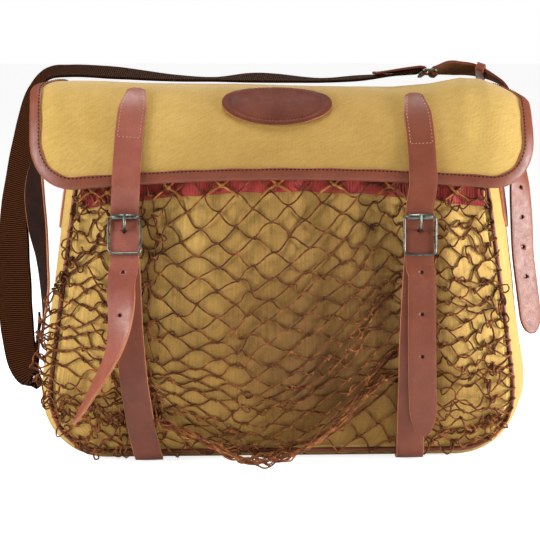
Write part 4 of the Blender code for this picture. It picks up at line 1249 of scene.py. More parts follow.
def bottom_strap(side):
    buckle = FRONT_BUCKLES[side]
    path = BOTTOM_STRAP_PATH[side]
    centres = [Vector((lookup(path, z), y, z)) for y, z in STRAP_FOOT]
    for z in BOTTOM_STRAP_HEIGHTS:
        x = lookup(path, z)
        centres.append(Vector((x, strap_back_y(x, z), z)))
    centres += round_the_bar(buckle, (-14, -7, 0), LAP_LENGTH)
    lines = [cross_line(centre, (1, 0, 0), along_of(centres, k)) for k, centre in enumerate(centres)]
    lines, distances = lines_between(lines, 3.0)
    widths = [STRAP_WIDTH / 2] * len(distances)
    strap = strap_piece(f"bottom_strap_{side}_leather", lines, widths, (LEATHER_LOOK, EDGE_LOOK))
    punch(strap, [slot_for_prong(buckle)], PRONG_SLOT)
    return finish_piece(strap, node=f"bottom_strap_{side}")


announce(bottom_strap("left"), bottom_strap("right"))

# %% Flap straps
ON_FLAP = {
    "left": ((87, -131), (81, -132), (75, -133), (66, -135), (55, -137), (43, -138.5), (30, -139.5),
             (17, -140.5), (8, -141), (0, -141.5)),
    "right": ((84, 118.8), (78, 119.3), (71, 120), (62, 121), (51, 122), (40, 123), (29, 123.5), (17, 124),
              (8, 124.5), (0, 124.5)),
}
# Free end of each flap strap below its buckle: z, x, distance ahead of the bottom strap, twist in degrees
FREE_END = {
    "left": ((168, -146, 22, 0), (148, -146, 22, 22), (128, -148, 22, 42), (108, -153, 21, 62),
             (90, -161, 19, 76), (72, -171, 16, 86), (56, -180, 14, 92), (40, -189.5, 12, 96)),
    "right": ((172, 123, 8, 0), (150, 123, 7, 0), (125, 123, 7, 0), (100, 123.3, 7, 0), (75, 124, 7, 0),
              (50, 125.5, 7, 0), (24, 126.5, 8, 0)),
}
HOLE_SPACING = 38.0
HOLE_COUNT = {"left": 2, "right": 3}
ON_CANVAS = CANVAS / 2 + STRAP_LEATHER / 2 + 0.8
ON_BINDING = ON_CANVAS + BINDING_CLEARANCE + BINDING_LEATHER + 0.3
TOP_TIP = 24.0
TOP_SHARE = 0.60
TOP_ROUND = 5.0
END_TIP = 30.0
SEAM_START = 4.0
SEAM_END = 53.0
SEAM_INSET = 2.6
# Cross lines lie closer together at both ends, where the strap's outline turns: distances from the end
CLOSE_LINES = (0, 0.3, 0.9, 1.8, 2.9, 4.2)


def lift_on_flap(along):
    return ON_CANVAS + (ON_BINDING - ON_CANVAS) * (1 - smooth_step(BINDING_WIDTH + 2, 30, along))


def top_share(distance):
    """Share of the full width near the sewn top of a flap strap."""
    return min(1.0, TOP_SHARE + (1 - TOP_SHARE) * distance / TOP_TIP)


def flap_strap(side):
    buckle = FRONT_BUCKLES[side]
    rows = [(*flap_point(x, along, lift_on_flap(along)), 0) for along, x in ON_FLAP[side]]
    hem = rows[-1]
    rows.append((hem[0], hem[1], hem[2] - 5, 0))
    rows += [(*buckle.point(0, up, 0), 0) for up in (ROLLER_UP + 6, ROLLER_UP, 0, WIRE_DOWN, -32)]
    for z, x, ahead, twist in FREE_END[side]:
        rows.append((x, strap_back_y(lookup(BOTTOM_STRAP_PATH[side], z), z) - ahead, z, twist))
    route = Route(rows)
    distances = [*CLOSE_LINES, *even_steps(6, route.length - 6, round(route.length / 3.0))]
    distances += [route.length - distance for distance in reversed(CLOSE_LINES)]
    lines, widths = [], []
    for distance in distances:
        along = route.tangent(distance)
        middle, across, _ = cross_line(route.spot(distance), (1, 0, 0), along)
        across.rotate(Matrix.Rotation(math.radians(route.at(distance)[3]), 3, along))
        lines.append(cross_line(middle, across, along))
        top = top_share(distance) * tip_width(distance, TOP_ROUND, 0.45)
        widths.append(STRAP_WIDTH / 2 * top * tip_width(route.length - distance, END_TIP, 0.2))
    # The left strap takes the paler copy of the hide: painted light.
    look = PAINTED_LIT_LEATHER_LOOK if side == "left" else LEATHER_LOOK
    strap = strap_piece(f"flap_strap_{side}_leather", lines, widths, (look, EDGE_LOOK))
    at_buckle = nearest_along(route, lambda spot: (spot - buckle.centre).length)
    spots = []
    for hole in range(1, HOLE_COUNT[side] + 1):
        spot = route.spot(at_buckle + HOLE_SPACING * hole)
        nearest = min(lines, key=lambda line: (line[0] - spot).length)
        spots.append((spot, nearest[2]))
    punch(strap, [(buckle.centre, buckle.out)], PRONG_HOLE)
    punch(strap, spots, SPARE_HOLE)
    return finish_piece(strap, node=f"flap_strap_{side}"), route


def strap_stitches(side, route):
    """A line of stitches down both edges of the sewn top of the strap, and one across it."""
    seams = {"outer": [], "inner": []}
    for edge, seam in zip((-1, 1), seams.values()):
        for distance in even_steps(SEAM_START, SEAM_END, 20):
            width = STRAP_WIDTH / 2 * top_share(distance) - SEAM_INSET
            middle, across, back = cross_line(route.spot(distance), (1, 0, 0), route.tangent(distance))
            seam.append((middle + across * edge * width - back * (STRAP_LEATHER / 2 + 0.05), -back))
    (first, out), (last, _) = seams["outer"][-1], seams["inner"][-1]
    seams["lower"] = [(first.lerp(last, share), out) for share in even_steps(0, 1, 6)]
    made = []
    for name, seam in seams.items():
        made.append(stitch_row(
            f"strap_seam_{side}_{name}", seam, length=2.0, thickness=0.8, pitch=3.2, look=PALE_THREAD_LOOK
        ))
    return made


for side in STRAP_X:
    strap, strap_route = flap_strap(side)
    announce(strap, *strap_stitches(side, strap_route))

# %% [markdown]
# ## Roller buckles
# A roller buckle is a bent wire frame with a loose sleeve on the wire where the strap slides, a bar that
# the prong hinges on, and the prong lying over the sleeve. The wire is a round tube along a rounded
# rectangle, with enough sides to shine evenly, and the sleeve is a short spun tube with its ends eased.


# %% Buckles
FRAME_CORNERS = (3.2, 3.2, 4.4, 5.6)
SLEEVE_EASE = 0.3


def rounded_loop(corners, radii):
    """A closed line through four corners, each rounded."""
    points = []
    for k, corner in enumerate(corners):
        start = corner + (corners[k - 1] - corner).normalized() * radii[k]
        end = corner + (corners[(k + 1) % len(corners)] - corner).normalized() * radii[k]
        for t in even_steps(0, 1, 5):
            points.append(start * (1 - t) ** 2 + corner * (2 * t * (1 - t)) + end * t**2)
    return points


def sleeve(name, centre, axis, inner, outer, length):
    """A short tube: a small section spun a full turn about the axis."""
    half, eased = length / 2, outer - SLEEVE_EASE
    section = (
        (inner, -half), (eased, -half), (outer, -half + SLEEVE_EASE),
        (outer, half - SLEEVE_EASE), (eased, half), (inner, half),
    )
    bm = bmesh.new()
    ring = [bm.verts.new((radius * MM, 0, height * MM)) for radius, height in section]
    edges = [bm.edges.new((ring[k], ring[(k + 1) % len(ring)])) for k in range(len(ring))]
    bmesh.ops.spin(
        bm, geom=ring + edges, axis=(0, 0, 1), cent=(0, 0, 0), angle=math.tau, steps=28, use_merge=True
    )
    bmesh.ops.remove_doubles(bm, verts=bm.verts, dist=1e-6)
    bmesh.ops.recalc_face_normals(bm, faces=bm.faces)
    turn = axis.to_track_quat("Z", "Y").to_matrix().to_4x4()
    bmesh.ops.transform(bm, matrix=Matrix.Translation(centre * MM) @ turn, verts=bm.verts)
    return new_piece(name, bm)


def buckle_pieces(buckle):
    name = buckle.name
    corners = [
        buckle.point(-SIDE_ACROSS, ROLLER_UP, ROLLER_OUT), buckle.point(SIDE_ACROSS, ROLLER_UP, ROLLER_OUT),
        buckle.point(SIDE_ACROSS, WIRE_DOWN, WIRE_OUT), buckle.point(-SIDE_ACROSS, WIRE_DOWN, WIRE_OUT),
    ]
    loop = rounded_loop(corners, FRAME_CORNERS)
    wire = tube_piece(f"buckle_wire_{name}", [loop], BUCKLE_WIRE, cyclic=True)
    side_out = WIRE_OUT + (ROLLER_OUT - WIRE_OUT) * -WIRE_DOWN / (ROLLER_UP - WIRE_DOWN)
    bar_rows = [
        (-SIDE_ACROSS, 0, side_out), (-SIDE_ACROSS, 0, BAR_OUT + 0.8), (-SIDE_ACROSS + 0.8, 0, BAR_OUT),
        (SIDE_ACROSS - 0.8, 0, BAR_OUT), (SIDE_ACROSS, 0, BAR_OUT + 0.8), (SIDE_ACROSS, 0, side_out),
    ]
    bar = tube_piece(f"buckle_bar_{name}", [[buckle.point(*row) for row in bar_rows]], BUCKLE_WIRE)
    roller = sleeve(
        f"buckle_sleeve_{name}", buckle.point(0, ROLLER_UP, ROLLER_OUT + SLEEVE_HANG), buckle.across,
        BUCKLE_WIRE + SLEEVE_HANG + 0.2, SLEEVE_RADIUS, ROLLER_LENGTH,
    )
    start = BAR_OUT + BUCKLE_WIRE + GAP + TONGUE_RADIUS
    rest = ROLLER_OUT + SLEEVE_HANG + SLEEVE_RADIUS + 0.2 + TONGUE_RADIUS
    rows = [
        (0, 0, start), (0, 0.2, 1.5), (0, 2.5, rest - 2.2),
        (0, 7, rest), (0, ROLLER_UP, rest), (0, 14.5, rest),
    ]
    tongue = along_route(Route([buckle.point(*row) for row in rows]), 16)
    prong = tube_piece(f"buckle_tongue_{name}", [tongue], TONGUE_RADIUS)
    for piece, node in ((wire, "frame"), (bar, "frame"), (roller, "roller"), (prong, "prong")):
        finish_piece(piece, [NICKEL_LOOK], f"buckle_{node}_{name}")
    return wire, bar, roller, prong


for buckle in FRONT_BUCKLES.values():
    announce(*buckle_pieces(buckle))

# %% [markdown]
# ## Shoulder strap
# The strap starts as leather sewn to the left side, near black with painted shade, bends out and down in
# a loop, and goes on as ribbed webbing over the top of the bag. A leather wrap holds the webbing to a steel
# ring, and a strap with holes goes on from there, over the corner and through a buckle, with its free end
# hanging down. All of it follows two curves of measured points. Each point also gives the direction across
# the strap, which makes it twist.

# %% Course of the strap
WEBBING_WIDTH = 40.0
SEWN_Y = 14.0
SEWN_TIP_Z = 208.0
SEWN_TOP_Z = 268.0
SEWN_TIP_SHARE = 0.3
SEWN_TIP_LENGTH = 18.0
LAP = 22.0
WEBBING_TO_LEATHER = (WEBBING + STRAP_LEATHER) / 2 + 4 * GAP


def on_gusset(z):
    return seam_half(z) + GUSSET_BULGE + (CANVAS + STRAP_LEATHER) / 2 + 2 * GAP


# Middle line of the left part of the strap: x, y, z, then the direction across the strap
LEFT_ROUTE = (
    (-on_gusset(SEWN_TIP_Z), SEWN_Y, SEWN_TIP_Z, 0, 1, 0),
    (-on_gusset(228), SEWN_Y, 228, 0, 1, 0),
    (-on_gusset(250), SEWN_Y, 250, 0, 1, 0),
    (-on_gusset(SEWN_TOP_Z) - 0.5, SEWN_Y, SEWN_TOP_Z, 0, 1, 0),
    (-203, 15, 284, 0, 1, 0),
    (-212, 17, 292, 0, 1, 0),
    (-221, 21, 284, -0.2, 0.98, 0),
    (-226, 25, 262, -0.5, 0.85, 0),
    (-228, 29, 238, -0.75, 0.66, 0),
    (-226, 34, 208, -0.75, 0.66, 0),
    (-222, 36, 178, -0.5, 0.87, 0),
    (-220, 38, 150, -0.35, 0.94, 0),
    (-221, 40, 122, -0.1, 0.99, 0),
    (-224, 42, 95, 0, 1, 0),
    (-225.5, 43, 76, 0, 1, 0),
    (-228, 44, 62, -0.3, 0.95, 0),
    (-235, 45, 61, -0.6, 0.8, 0),
    (-242, 47, 78, -0.75, 0.66, 0),
    (-247, 50, 110, -0.8, 0.6, 0),
    (-249, 54, 150, -0.8, 0.6, 0),
    (-250, 57, 190, -0.75, 0.66, 0),
    (-248, 58, 230, -0.62, 0.78, 0),
    (-241, 57, 270, -0.6, 0.8, 0),
    (-234, 51, 305, -0.5, 0.86, 0),
    (-228, 43, 331, -0.3, 0.95, 0.1),
    (-215, 35, 349, -0.1, 0.97, 0.2),
    (-192, 29, 353, 0, 0.97, 0.22),
    (-150, 25, 351, 0, 0.97, 0.22),
    (-100, 23, 346.5, 0, 0.99, 0.1),
    (-60, 22, 345, 0, 1, 0.04),
    (-25, 22, 346.5, 0, 0.98, 0.16),
    (0, 22, 346, 0, 0.98, 0.14),
    (40, 23, 344, 0, 1, 0.04),
    (75, 24, 346, 0, 0.99, 0.06),
    (105, 25, 349, 0, 1, -0.02),
    (132, 26, 352, 0, 0.99, -0.12),
)
# Middle line of the right part, from the ring over the top corner to the hanging tip
RIGHT_ROUTE = (
    (149, 26, 352, 0, 0.96, -0.28),
    (166, 34, 355, 0, 0.9, -0.42),
    (184, 37, 354, 0, 0.92, -0.38),
    (199, 33, 349, 0, 0.98, -0.2),
    (211, 27, 341, 0, 1, 0),
    (217.5, 22, 328, 0, 1, 0),
    (220.5, 20, 312, 0, 1, 0),
    (223.5, 18, 292, 0.1, 0.99, 0),
    (225, 14, 270, 0.5, 0.87, 0),
    (226, 9, 245, 0.78, 0.62, 0),
    (227.5, 6, 214, 0.86, 0.51, 0),
    (229, 4, 182, 0.86, 0.51, 0),
    (233, 3, 150, 0.86, 0.51, 0),
    (236.5, 3, 124, 0.86, 0.51, 0),
    (238.5, 3, 107, 0.86, 0.51, 0),
)
LEATHER_END = 290.0
WEBBING_GATHER = 0.2
WRAP_FLARE = 1.5
RING_WIRE = 1.4
RING_HALF = 18.0
RING_REACH = 6.0
RING_FOLD = RING_WIRE + GAP + STRAP_LEATHER / 2
WRAP_LENGTH = 42.0
WRAP_HALF_WIDTH = 15.0
FOLD_UNDER = 2.0
BILLET_TIP = 20.0
LINE_SPACING = 2.5
WRAP_SEAM = {"start": 4.0, "end": 34.0, "inset": 2.5}
LAST_HOLE_FROM_TIP = 54.5
BILLET_HOLE_SPACING = 28.0
BILLET_HOLES = 4
SHOULDER_BUCKLE_Z = 310.0
TURNED_ABOVE = 316.0
KEEPER_ALONG = 46.0
KEEPER_LENGTH = 8.0
KEEPER_ROOM = 3.0
SHOULDER_LAP = 3.0

LEFT_COURSE = Route(LEFT_ROUTE)
RIGHT_COURSE = Route(RIGHT_ROUTE)
print("left part", round(LEFT_COURSE.length), "mm, right part", round(RIGHT_COURSE.length), "mm")


def section_line(route, distance, lift):
    """Cross line of the shoulder strap, lifted off its middle line."""
    middle, across, under = line_on(route, distance)
    return middle - under * lift, across, under


def pointed_widths(distances):
    """Half widths of a strap whose end is cut to a blunt point and sewn to a gusset."""
    shares = [min(1.0, SEWN_TIP_SHARE + distance / SEWN_TIP_LENGTH) for distance in distances]
    return [STRAP_WIDTH / 2 * share for share in shares]


# %% Dark leather and webbing
def shoulder_leather():
    distances = even_steps(0, LEATHER_END, round(LEATHER_END / LINE_SPACING))
    lines = [section_line(LEFT_COURSE, distance, 0) for distance in distances]
    # The near-black hide is painted shade.
    looks = (SHADED_LEATHER_LOOK, EDGE_LOOK)
    piece = strap_piece("shoulder_leather", lines, pointed_widths(distances), looks)
    return finish_piece(piece, node="shoulder_leather_left")


def shoulder_webbing():
    start, end = LEATHER_END - LAP, LEFT_COURSE.length
    lines, widths = [], []
    for distance in even_steps(start, end, round((end - start) / LINE_SPACING)):
        lift = -WEBBING_TO_LEATHER * (1 - smooth_step(LEATHER_END + 16, LEATHER_END + 40, distance))
        lines.append(section_line(LEFT_COURSE, distance, lift))
        gather = WEBBING_GATHER * smooth_step(end - 30, end, distance)
        widths.append(WEBBING_WIDTH / 2 * (1 - gather) + 0.25 * math.sin(distance / 6.1))
    looks = (WEBBING_LOOK, WEBBING_LOOK)
    piece = strap_piece("shoulder_webbing_weave", lines, widths, looks, WEBBING, columns=10, crown=0.5)
    return finish_piece(piece, node="shoulder_webbing")


announce(shoulder_leather(), shoulder_webbing())


# %% Ring and wrap
def ring_fitting():
    start, end = LEFT_COURSE.spot(LEFT_COURSE.length), RIGHT_COURSE.spot(0)
    along = (end - start).normalized()
    _, across, _ = cross_line(start, LEFT_COURSE.at(LEFT_COURSE.length)[3:6], along)
    return Fitting("ring", (start + end) / 2, -along, along.cross(across))


RING = ring_fitting()


def ring_piece():
    corners = [
        RING.point(-RING_HALF, RING_REACH, 0), RING.point(RING_HALF, RING_REACH, 0),
        RING.point(RING_HALF, -RING_REACH, 0), RING.point(-RING_HALF, -RING_REACH, 0),
    ]
    piece = tube_piece("strap_ring", [rounded_loop(corners, [3.0] * 4)], RING_WIRE, cyclic=True)
    return finish_piece(piece, [NICKEL_LOOK], "webbing_ring")


def fold_lines(side):
    """Cross lines of leather folded round one long side of the ring, from its lower end to its upper."""
    bar = side * RING_REACH
    middles = [RING.point(0, bar + side * FOLD_UNDER, -RING_FOLD)]
    for turn in even_steps(0, math.pi, 8):
        middles.append(RING.point(0, bar - side * RING_FOLD * math.sin(turn), -RING_FOLD * math.cos(turn)))
    return [cross_line(middle, RING.across, along_of(middles, k)) for k, middle in enumerate(middles)]


def webbing_wrap():
    lines = fold_lines(1)
    widths = [WRAP_HALF_WIDTH] * len(lines)
    for share in even_steps(0, 1, 16):
        distance = LEFT_COURSE.length - WRAP_LENGTH * share
        middle, across, under = section_line(LEFT_COURSE, distance, RING_FOLD + GAP)
        lines.append((middle, RING.across.lerp(across, share), -under))
        tip = tip_width(WRAP_LENGTH * (1 - share), 7, 0.86)
        widths.append((WRAP_HALF_WIDTH + WRAP_FLARE * share) * tip)
    piece = strap_piece("webbing_wrap_leather", lines, widths, (PATCH_LOOK, PATCH_LOOK))
    return finish_piece(piece, node="webbing_end")


def wrap_stitches():
    seam = []
    start = LEFT_COURSE.length - WRAP_LENGTH
    for distance in even_steps(start + WRAP_SEAM["start"], start + WRAP_SEAM["end"], 12):
        middle, across, under = section_line(LEFT_COURSE, distance, RING_FOLD + GAP)
        edge = across * (WRAP_HALF_WIDTH - WRAP_SEAM["inset"])
        seam.append((middle - under * (STRAP_LEATHER / 2 + 0.05) - edge, -under))
    return stitch_row("wrap_stitches", seam, length=2.3, thickness=0.7, pitch=3.6, look=THREAD_LOOK)


announce(ring_piece(), webbing_wrap(), wrap_stitches())


# %% Strap with holes, and the anchor that it is buckled to
def on_right_course(distance, name):
    """A buckle's or a keeper's frame on the course of the strap with holes."""
    along = RIGHT_COURSE.tangent(distance)
    out = along.cross(Vector(RIGHT_COURSE.at(distance)[3:6]))
    return Fitting(name, RIGHT_COURSE.spot(distance), -along, out)


BUCKLE_ALONG = nearest_along(RIGHT_COURSE, lambda spot: abs(spot.z - SHOULDER_BUCKLE_Z))
SHOULDER_BUCKLE = on_right_course(BUCKLE_ALONG, "shoulder")


def shoulder_billet():
    lines = fold_lines(-1)
    widths = [STRAP_WIDTH / 2] * len(lines)
    length = RIGHT_COURSE.length
    for left in even_steps(1, 0, round(length / LINE_SPACING)):
        distance = 3 + (length - 3) * (1 - left ** 1.08)
        lift = RING_FOLD * (1 - smooth_step(4, 26, distance))
        middle, across, under = section_line(RIGHT_COURSE, distance, lift)
        lines.append((middle, across, -under))
        widths.append(STRAP_WIDTH / 2 * tip_width(length - distance, BILLET_TIP, 0.2))
    billet = strap_piece("shoulder_billet_leather", lines, widths, (LEATHER_LOOK, PATCH_LOOK))
    spots = []
    for hole in range(BILLET_HOLES):
        spare = on_right_course(length - LAST_HOLE_FROM_TIP - BILLET_HOLE_SPACING * hole, "hole")
        spots.append((spare.centre, spare.out))
    punch(billet, [(SHOULDER_BUCKLE.centre, SHOULDER_BUCKLE.out)], PRONG_HOLE)
    punch(billet, spots, SPARE_HOLE)
    billet.data.materials.append(FLESH_LOOK)
    for face in billet.data.polygons:
        if face.center.z > TURNED_ABOVE * MM and face.normal.y < 0 and face.normal.z < 0.1:
            face.material_index = len(billet.data.materials) - 1
    return finish_piece(billet, node="shoulder_billet")


def shoulder_anchor():
    buckle = SHOULDER_BUCKLE
    centres = [Vector((on_gusset(z) + 9.2, SEWN_Y - 12, z)) for z in (SEWN_TIP_Z, 214, 222, 236, 250)]
    centres.append(Vector((on_gusset(SEWN_TOP_Z) + 8, SEWN_Y - 8, SEWN_TOP_Z)))
    centres += [Vector((205.5, 11, 280)), Vector((207.5, 17.5, 290))]
    flat = len(centres)
    centres += round_the_bar(buckle, (-11, -5, 0), SHOULDER_LAP)
    lines = []
    for k, centre in enumerate(centres):
        across = Vector((0.25, 0.97, 0)) if k < flat else buckle.across
        lines.append(cross_line(centre, across, along_of(centres, k)))
    lines, distances = lines_between(lines, LINE_SPACING)
    looks = (LEATHER_LOOK, EDGE_LOOK)
    anchor = strap_piece("shoulder_anchor_leather", lines, pointed_widths(distances), looks)
    punch(anchor, [slot_for_prong(buckle)], PRONG_SLOT)
    return finish_piece(anchor, node="shoulder_anchor_right")


def keeper():
    """A narrow loop of leather round the billet."""
    middle = on_right_course(KEEPER_ALONG, "keeper")
    across = (STRAP_WIDTH + KEEPER_ROOM + BINDING_LEATHER) / 2
    out = (STRAP_LEATHER + KEEPER_ROOM + BINDING_LEATHER) / 2
    corners = [Vector(corner) for corner in ((-across, out), (across, out), (across, -out), (-across, -out))]
    loop = rounded_loop(corners, [1.6] * 4)

    def place(u, v):
        point = loop[round(u * len(loop)) % len(loop)]
        return middle.point(point.x, KEEPER_LENGTH * (v - 0.5), point.y)

    piece = grid_piece("keeper_leather", len(loop), 2, place, (66, KEEPER_LENGTH))
    bm = bmesh.new()
    bm.from_mesh(piece.data)
    bmesh.ops.remove_doubles(bm, verts=bm.verts, dist=1e-6)
    bmesh.ops.recalc_face_normals(bm, faces=bm.faces)
    bm.to_mesh(piece.data)
    bm.free()
    add_wall(piece, BINDING_LEATHER, edge_slot=1, rounding=0.3)
    return finish_piece(piece, [LEATHER_LOOK, EDGE_LOOK], "shoulder_keeper")


announce(shoulder_billet(), shoulder_anchor(), keeper(), *buckle_pieces(SHOULDER_BUCKLE))

# %% [markdown]
# ## Net pouch
# The net is tied from one twine in diamonds about 21 mm from knot to knot. It is wider and longer than the
# front it covers, so it hangs in uneven curves, gathers over the bottom seam and spills a little onto the
# floor. Drawing that by hand would look too regular. Instead each bar of twine becomes a chain of short
# links, and a small simulation lets the chains fall, keeps every link at its length and pushes them off the
# bag, the straps and the floor. It uses numpy alone, with seeded random numbers, so it gives the same net
# each run.

# %% Sizes of the net
NET_BAR = 21.0
NET_COLUMNS = 31
COLUMN_SPREAD = ((0, -1), (10, -0.56), (23, 0.53), (31, 1))
NET_ROWS = 42
FOLD_ROW = 30
FOLD_ROWS = 8
LINKS = 4
TWINE_RADIUS = 0.80
KNOT_RADIUS = 1.7
NET_HALF = 205.0
NET_ROOM = 1.5
KNOT_FREEDOM = 0.02
FOREMOST_Y = -123.0
TIED_HALF_AT_HEAD = 176.0
TIED_HALF_AT_FOOT = 178.0
TIED_Y_AT_FOOT = -58.5
# Unevenness of the net before it falls, and the curl of its twine, all in mm
START_SCATTER = 2.0
START_DRIFT = 5.0
BAR_CURL = 0.75
LINK_CURL = 0.4
BAR_ARCH = 1.2
# One step of the fall: speeds in mm for each step, and shares of a distance or a speed
FALL_STEPS = {"full": 110, "quick": 60}
LINK_SWEEPS = 5
GRAVITY = 0.06
GRAVITY_ON_CLOTH = 0.004
PUSH_TO_BAG = 0.05
CURL_STRENGTH = 0.16
FOLD_STRENGTH = 0.12
SPEED_KEPT = 0.90
SPEED_KEPT_ON_CLOTH = 0.1
TOP_SPEED = 3.0
NEIGHBOURS = 45
random = np.random.default_rng(7)


# %% What the net rests on
def surface_table(step=3.0):
    """Depth of the bag's dressed front on a regular grid, for quick reading."""
    xs = np.arange(-231.0, 232.0, step)
    zs = np.arange(-12.0, 300.0, step)
    depth = np.zeros((len(xs), len(zs)))
    for i, x in enumerate(xs):
        for j, z in enumerate(zs):
            height = max(z, SEAM_Z + 1)
            if abs(x) < pocket_half(height) and z > SEAM_Z + POCKET_INSET:
                y = pocket_front(x, height) - CANVAS / 2
                hem_low = band_top(x) - BAND_WIDTH - 4
                y -= smooth_step(hem_low - 6, hem_low, z) * (BAND + GAP + 1.2)
            elif abs(x) < seam_half(height):
                y = front_y(x, height) - CANVAS / 2
            else:
                y = -lookup(BODY_HALF_DEPTHS, z) - PIPING_RADIUS
            if z < SEAM_Z:
                y += (SEAM_Z - z) * 0.7
            depth[i, j] = y
    return xs, zs, depth


SURFACE_X, SURFACE_Z, SURFACE_DEPTH = surface_table()


def surface_depth(x, z):
    """Reads the table between its points."""
    i = np.clip((x - SURFACE_X[0]) / (SURFACE_X[1] - SURFACE_X[0]), 0, len(SURFACE_X) - 1.001)
    j = np.clip((z - SURFACE_Z[0]) / (SURFACE_Z[1] - SURFACE_Z[0]), 0, len(SURFACE_Z) - 1.001)
    a, b = i.astype(int), j.astype(int)
    u, v = i - a, j - b
    table = SURFACE_DEPTH
    return (table[a, b] * (1 - u) + table[a + 1, b] * u) * (1 - v) + (
        table[a, b + 1] * (1 - u) + table[a + 1, b + 1] * u) * v


STRAP_HEIGHTS = np.arange(4.0, 204.0, 4.0)
# Middle and back of each bottom strap at these heights, because the net passes behind it
STRAP_COVER = [
    (
        np.array([lookup(path, z) for z in STRAP_HEIGHTS]),
        np.array([strap_back_y(lookup(path, z), z) for z in STRAP_HEIGHTS]),
    )
    for path in BOTTOM_STRAP_PATH.values()
]
print("the table of the bag's front has", SURFACE_DEPTH.size, "depths")


# %% [markdown]
# The knots form a lattice in which every second place is filled. Each knot is joined to the two below it by
# bars of several links. Links that share no point can be corrected all at once, so they are sorted into
# groups: the first, middle and last links of the bars that lean left, and the same for those that lean
# right.


# %% Lattice of knots and links
def make_lattice():
    knot_number = {}
    places = []
    for row in range(NET_ROWS + 1):
        for column in range(NET_COLUMNS + 1):
            if (row + column) % 2 == 0:
                knot_number[row, column] = len(places)
                places.append((row, column))
    bars, groups = [], {}
    count = len(places)
    for (row, column), start in knot_number.items():
        for lean in (-1, 1):
            end = knot_number.get((row + 1, column + lean))
            if end is None:
                continue
            chain = [start, *range(count, count + LINKS - 1), end]
            count += LINKS - 1
            bars.append(chain)
            for k in range(LINKS):
                groups.setdefault((lean, k), []).append((chain[k], chain[k + 1]))
    return places, bars, [np.array(group) for group in groups.values()], count


KNOTS, BARS, LINK_GROUPS, POINTS = make_lattice()
print(len(KNOTS), "knots,", len(BARS), "bars,", POINTS, "points")


# %% Where the net starts and where it is tied
def edge_x(z):
    return float(seam_half(max(z, 12.0)))


# The lower rows are gathered in a thick fold that runs down from the right strap to the middle: x, z
FOLD_LINE = (
    (-205, 50), (-160, 50), (-120, 42), (-80, 27), (-45, 8), (-20, 4), (14, 12), (50, 36), (86, 76),
    (112, 84), (140, 66), (170, 50), (205, 42),
)


def spread(column):
    """Share of the width at which a column hangs: wide meshes in the middle, crowded ones at the sides."""
    return lookup(COLUMN_SPREAD, column)


# Lines down the front toward which the columns crowd: x, lowest z, highest z, reach and strength
CROWDED_LINES = (
    (-37, 10, 200, 26, 0.55), (-116, 20, 250, 22, 0.6), (-186, 60, 250, 30, 0.5), (194, 25, 250, 34, 0.7),
    (92, 60, 170, 20, 0.4),
)
LEFT_BULGE = 36.0


def crowd(x, z):
    for middle, low, high, reach, strength in CROWDED_LINES:
        window = smooth_step(low - 15, low + 15, z) * (1 - smooth_step(high - 15, high + 15, z))
        x += (middle - x) * strength * window * bell(x, middle, reach)
    return x


def row_height(row, across):
    """Height of a row: tall meshes at the top, flatter ones below, the fold, and a few rows under it."""
    x = across * (NET_HALF - 2.0)
    fold_z = lookup(FOLD_LINE, x)
    top = band_top(x)
    share = row / NET_ROWS
    even = top + (10 - top) * (1.4 - 0.4 * share) * share
    if row <= FOLD_ROW:
        share = row / FOLD_ROW
        crowded = 0.62 + 0.22 * bell(x, -92, 48)
        folded = top + (fold_z - top) * (1 + crowded - crowded * share) * share
    elif row <= FOLD_ROW + FOLD_ROWS:
        loose = 4.5 + 6.5 * smooth_step(-20, -70, x)
        folded = fold_z + loose * math.sin(2.4 * row + 5.0 * across)
    else:
        folded = fold_z + (10 - fold_z) * (row - FOLD_ROW - FOLD_ROWS) / (NET_ROWS - FOLD_ROW - FOLD_ROWS)
    in_fold = smooth_step(-170, -125, x) * (1 - smooth_step(96, 124, x))
    return even + (folded - even) * in_fold


def start_place(row, column):
    """Places of the knots before they fall: spread over the front, with spare length near the bottom."""
    across = spread(column)
    z = row_height(row, across)
    x = crowd(across * (edge_x(z) - 2.0), z)
    x -= LEFT_BULGE * bell(column, 1.2, 2.2) * bell(z, 112, 58)
    forward = 2 + 10 * bell(row, FOLD_ROW + 2, 4) * (1 - across**4)
    low = bell(x, -24, 66) * bell(row, FOLD_ROW + 3, 4.5)
    z = z * (1 - low) + 1.5 * low
    forward += 38 * low
    return x, float(surface_depth(np.array(x), np.array(z))) - forward, z


def tied_place(row, column):
    """The net is tied along the head cord, down both side seams and along the bottom seam."""
    across = spread(column)
    if row == 0:
        x = across * TIED_HALF_AT_HEAD
        return x, pocket_front(x, band_top(x) - 2) - 4.2, band_top(x) + 3
    if column in (0, NET_COLUMNS):
        z = max(18.0, row_height(row, across))
        return math.copysign(edge_x(z) + 0.5, across), -lookup(BODY_HALF_DEPTHS, z) - 2.8, z
    if row == NET_ROWS:
        x = across * TIED_HALF_AT_FOOT
        return x, TIED_Y_AT_FOOT, 7.0 + 10 * max(0.0, abs(across) - 0.85) / 0.15
    return None


def start_points():
    points = np.zeros((POINTS, 3))
    free = np.ones(POINTS)
    for number, (row, column) in enumerate(KNOTS):
        tied = tied_place(row, column)
        points[number] = tied or start_place(row, column)
        free[number] = 0.0 if tied else KNOT_FREEDOM
        if not tied:
            points[number] += random.normal(0, START_SCATTER, 3)
            points[number, 0] += START_DRIFT * dents(row * 14, column * 15, 110, 0.7)
            points[number, 2] += START_DRIFT * dents(row * 14, column * 15, 90, 4.1)
    for chain in BARS:
        for k in range(1, LINKS):
            points[chain[k]] = points[chain[0]] + (points[chain[-1]] - points[chain[0]]) * k / LINKS
    return points, free


print("a knot in the middle starts at", [round(value) for value in start_place(21, 15)])


# %% [markdown]
# One step of the simulation moves each free point on by its speed and the pull of gravity, then corrects
# the links several times, bends the twine back toward its own slight curl, and pushes out whatever has gone
# into the bag, a strap, the floor or another strand. Strong damping brings the net to rest in about a
# hundred steps.


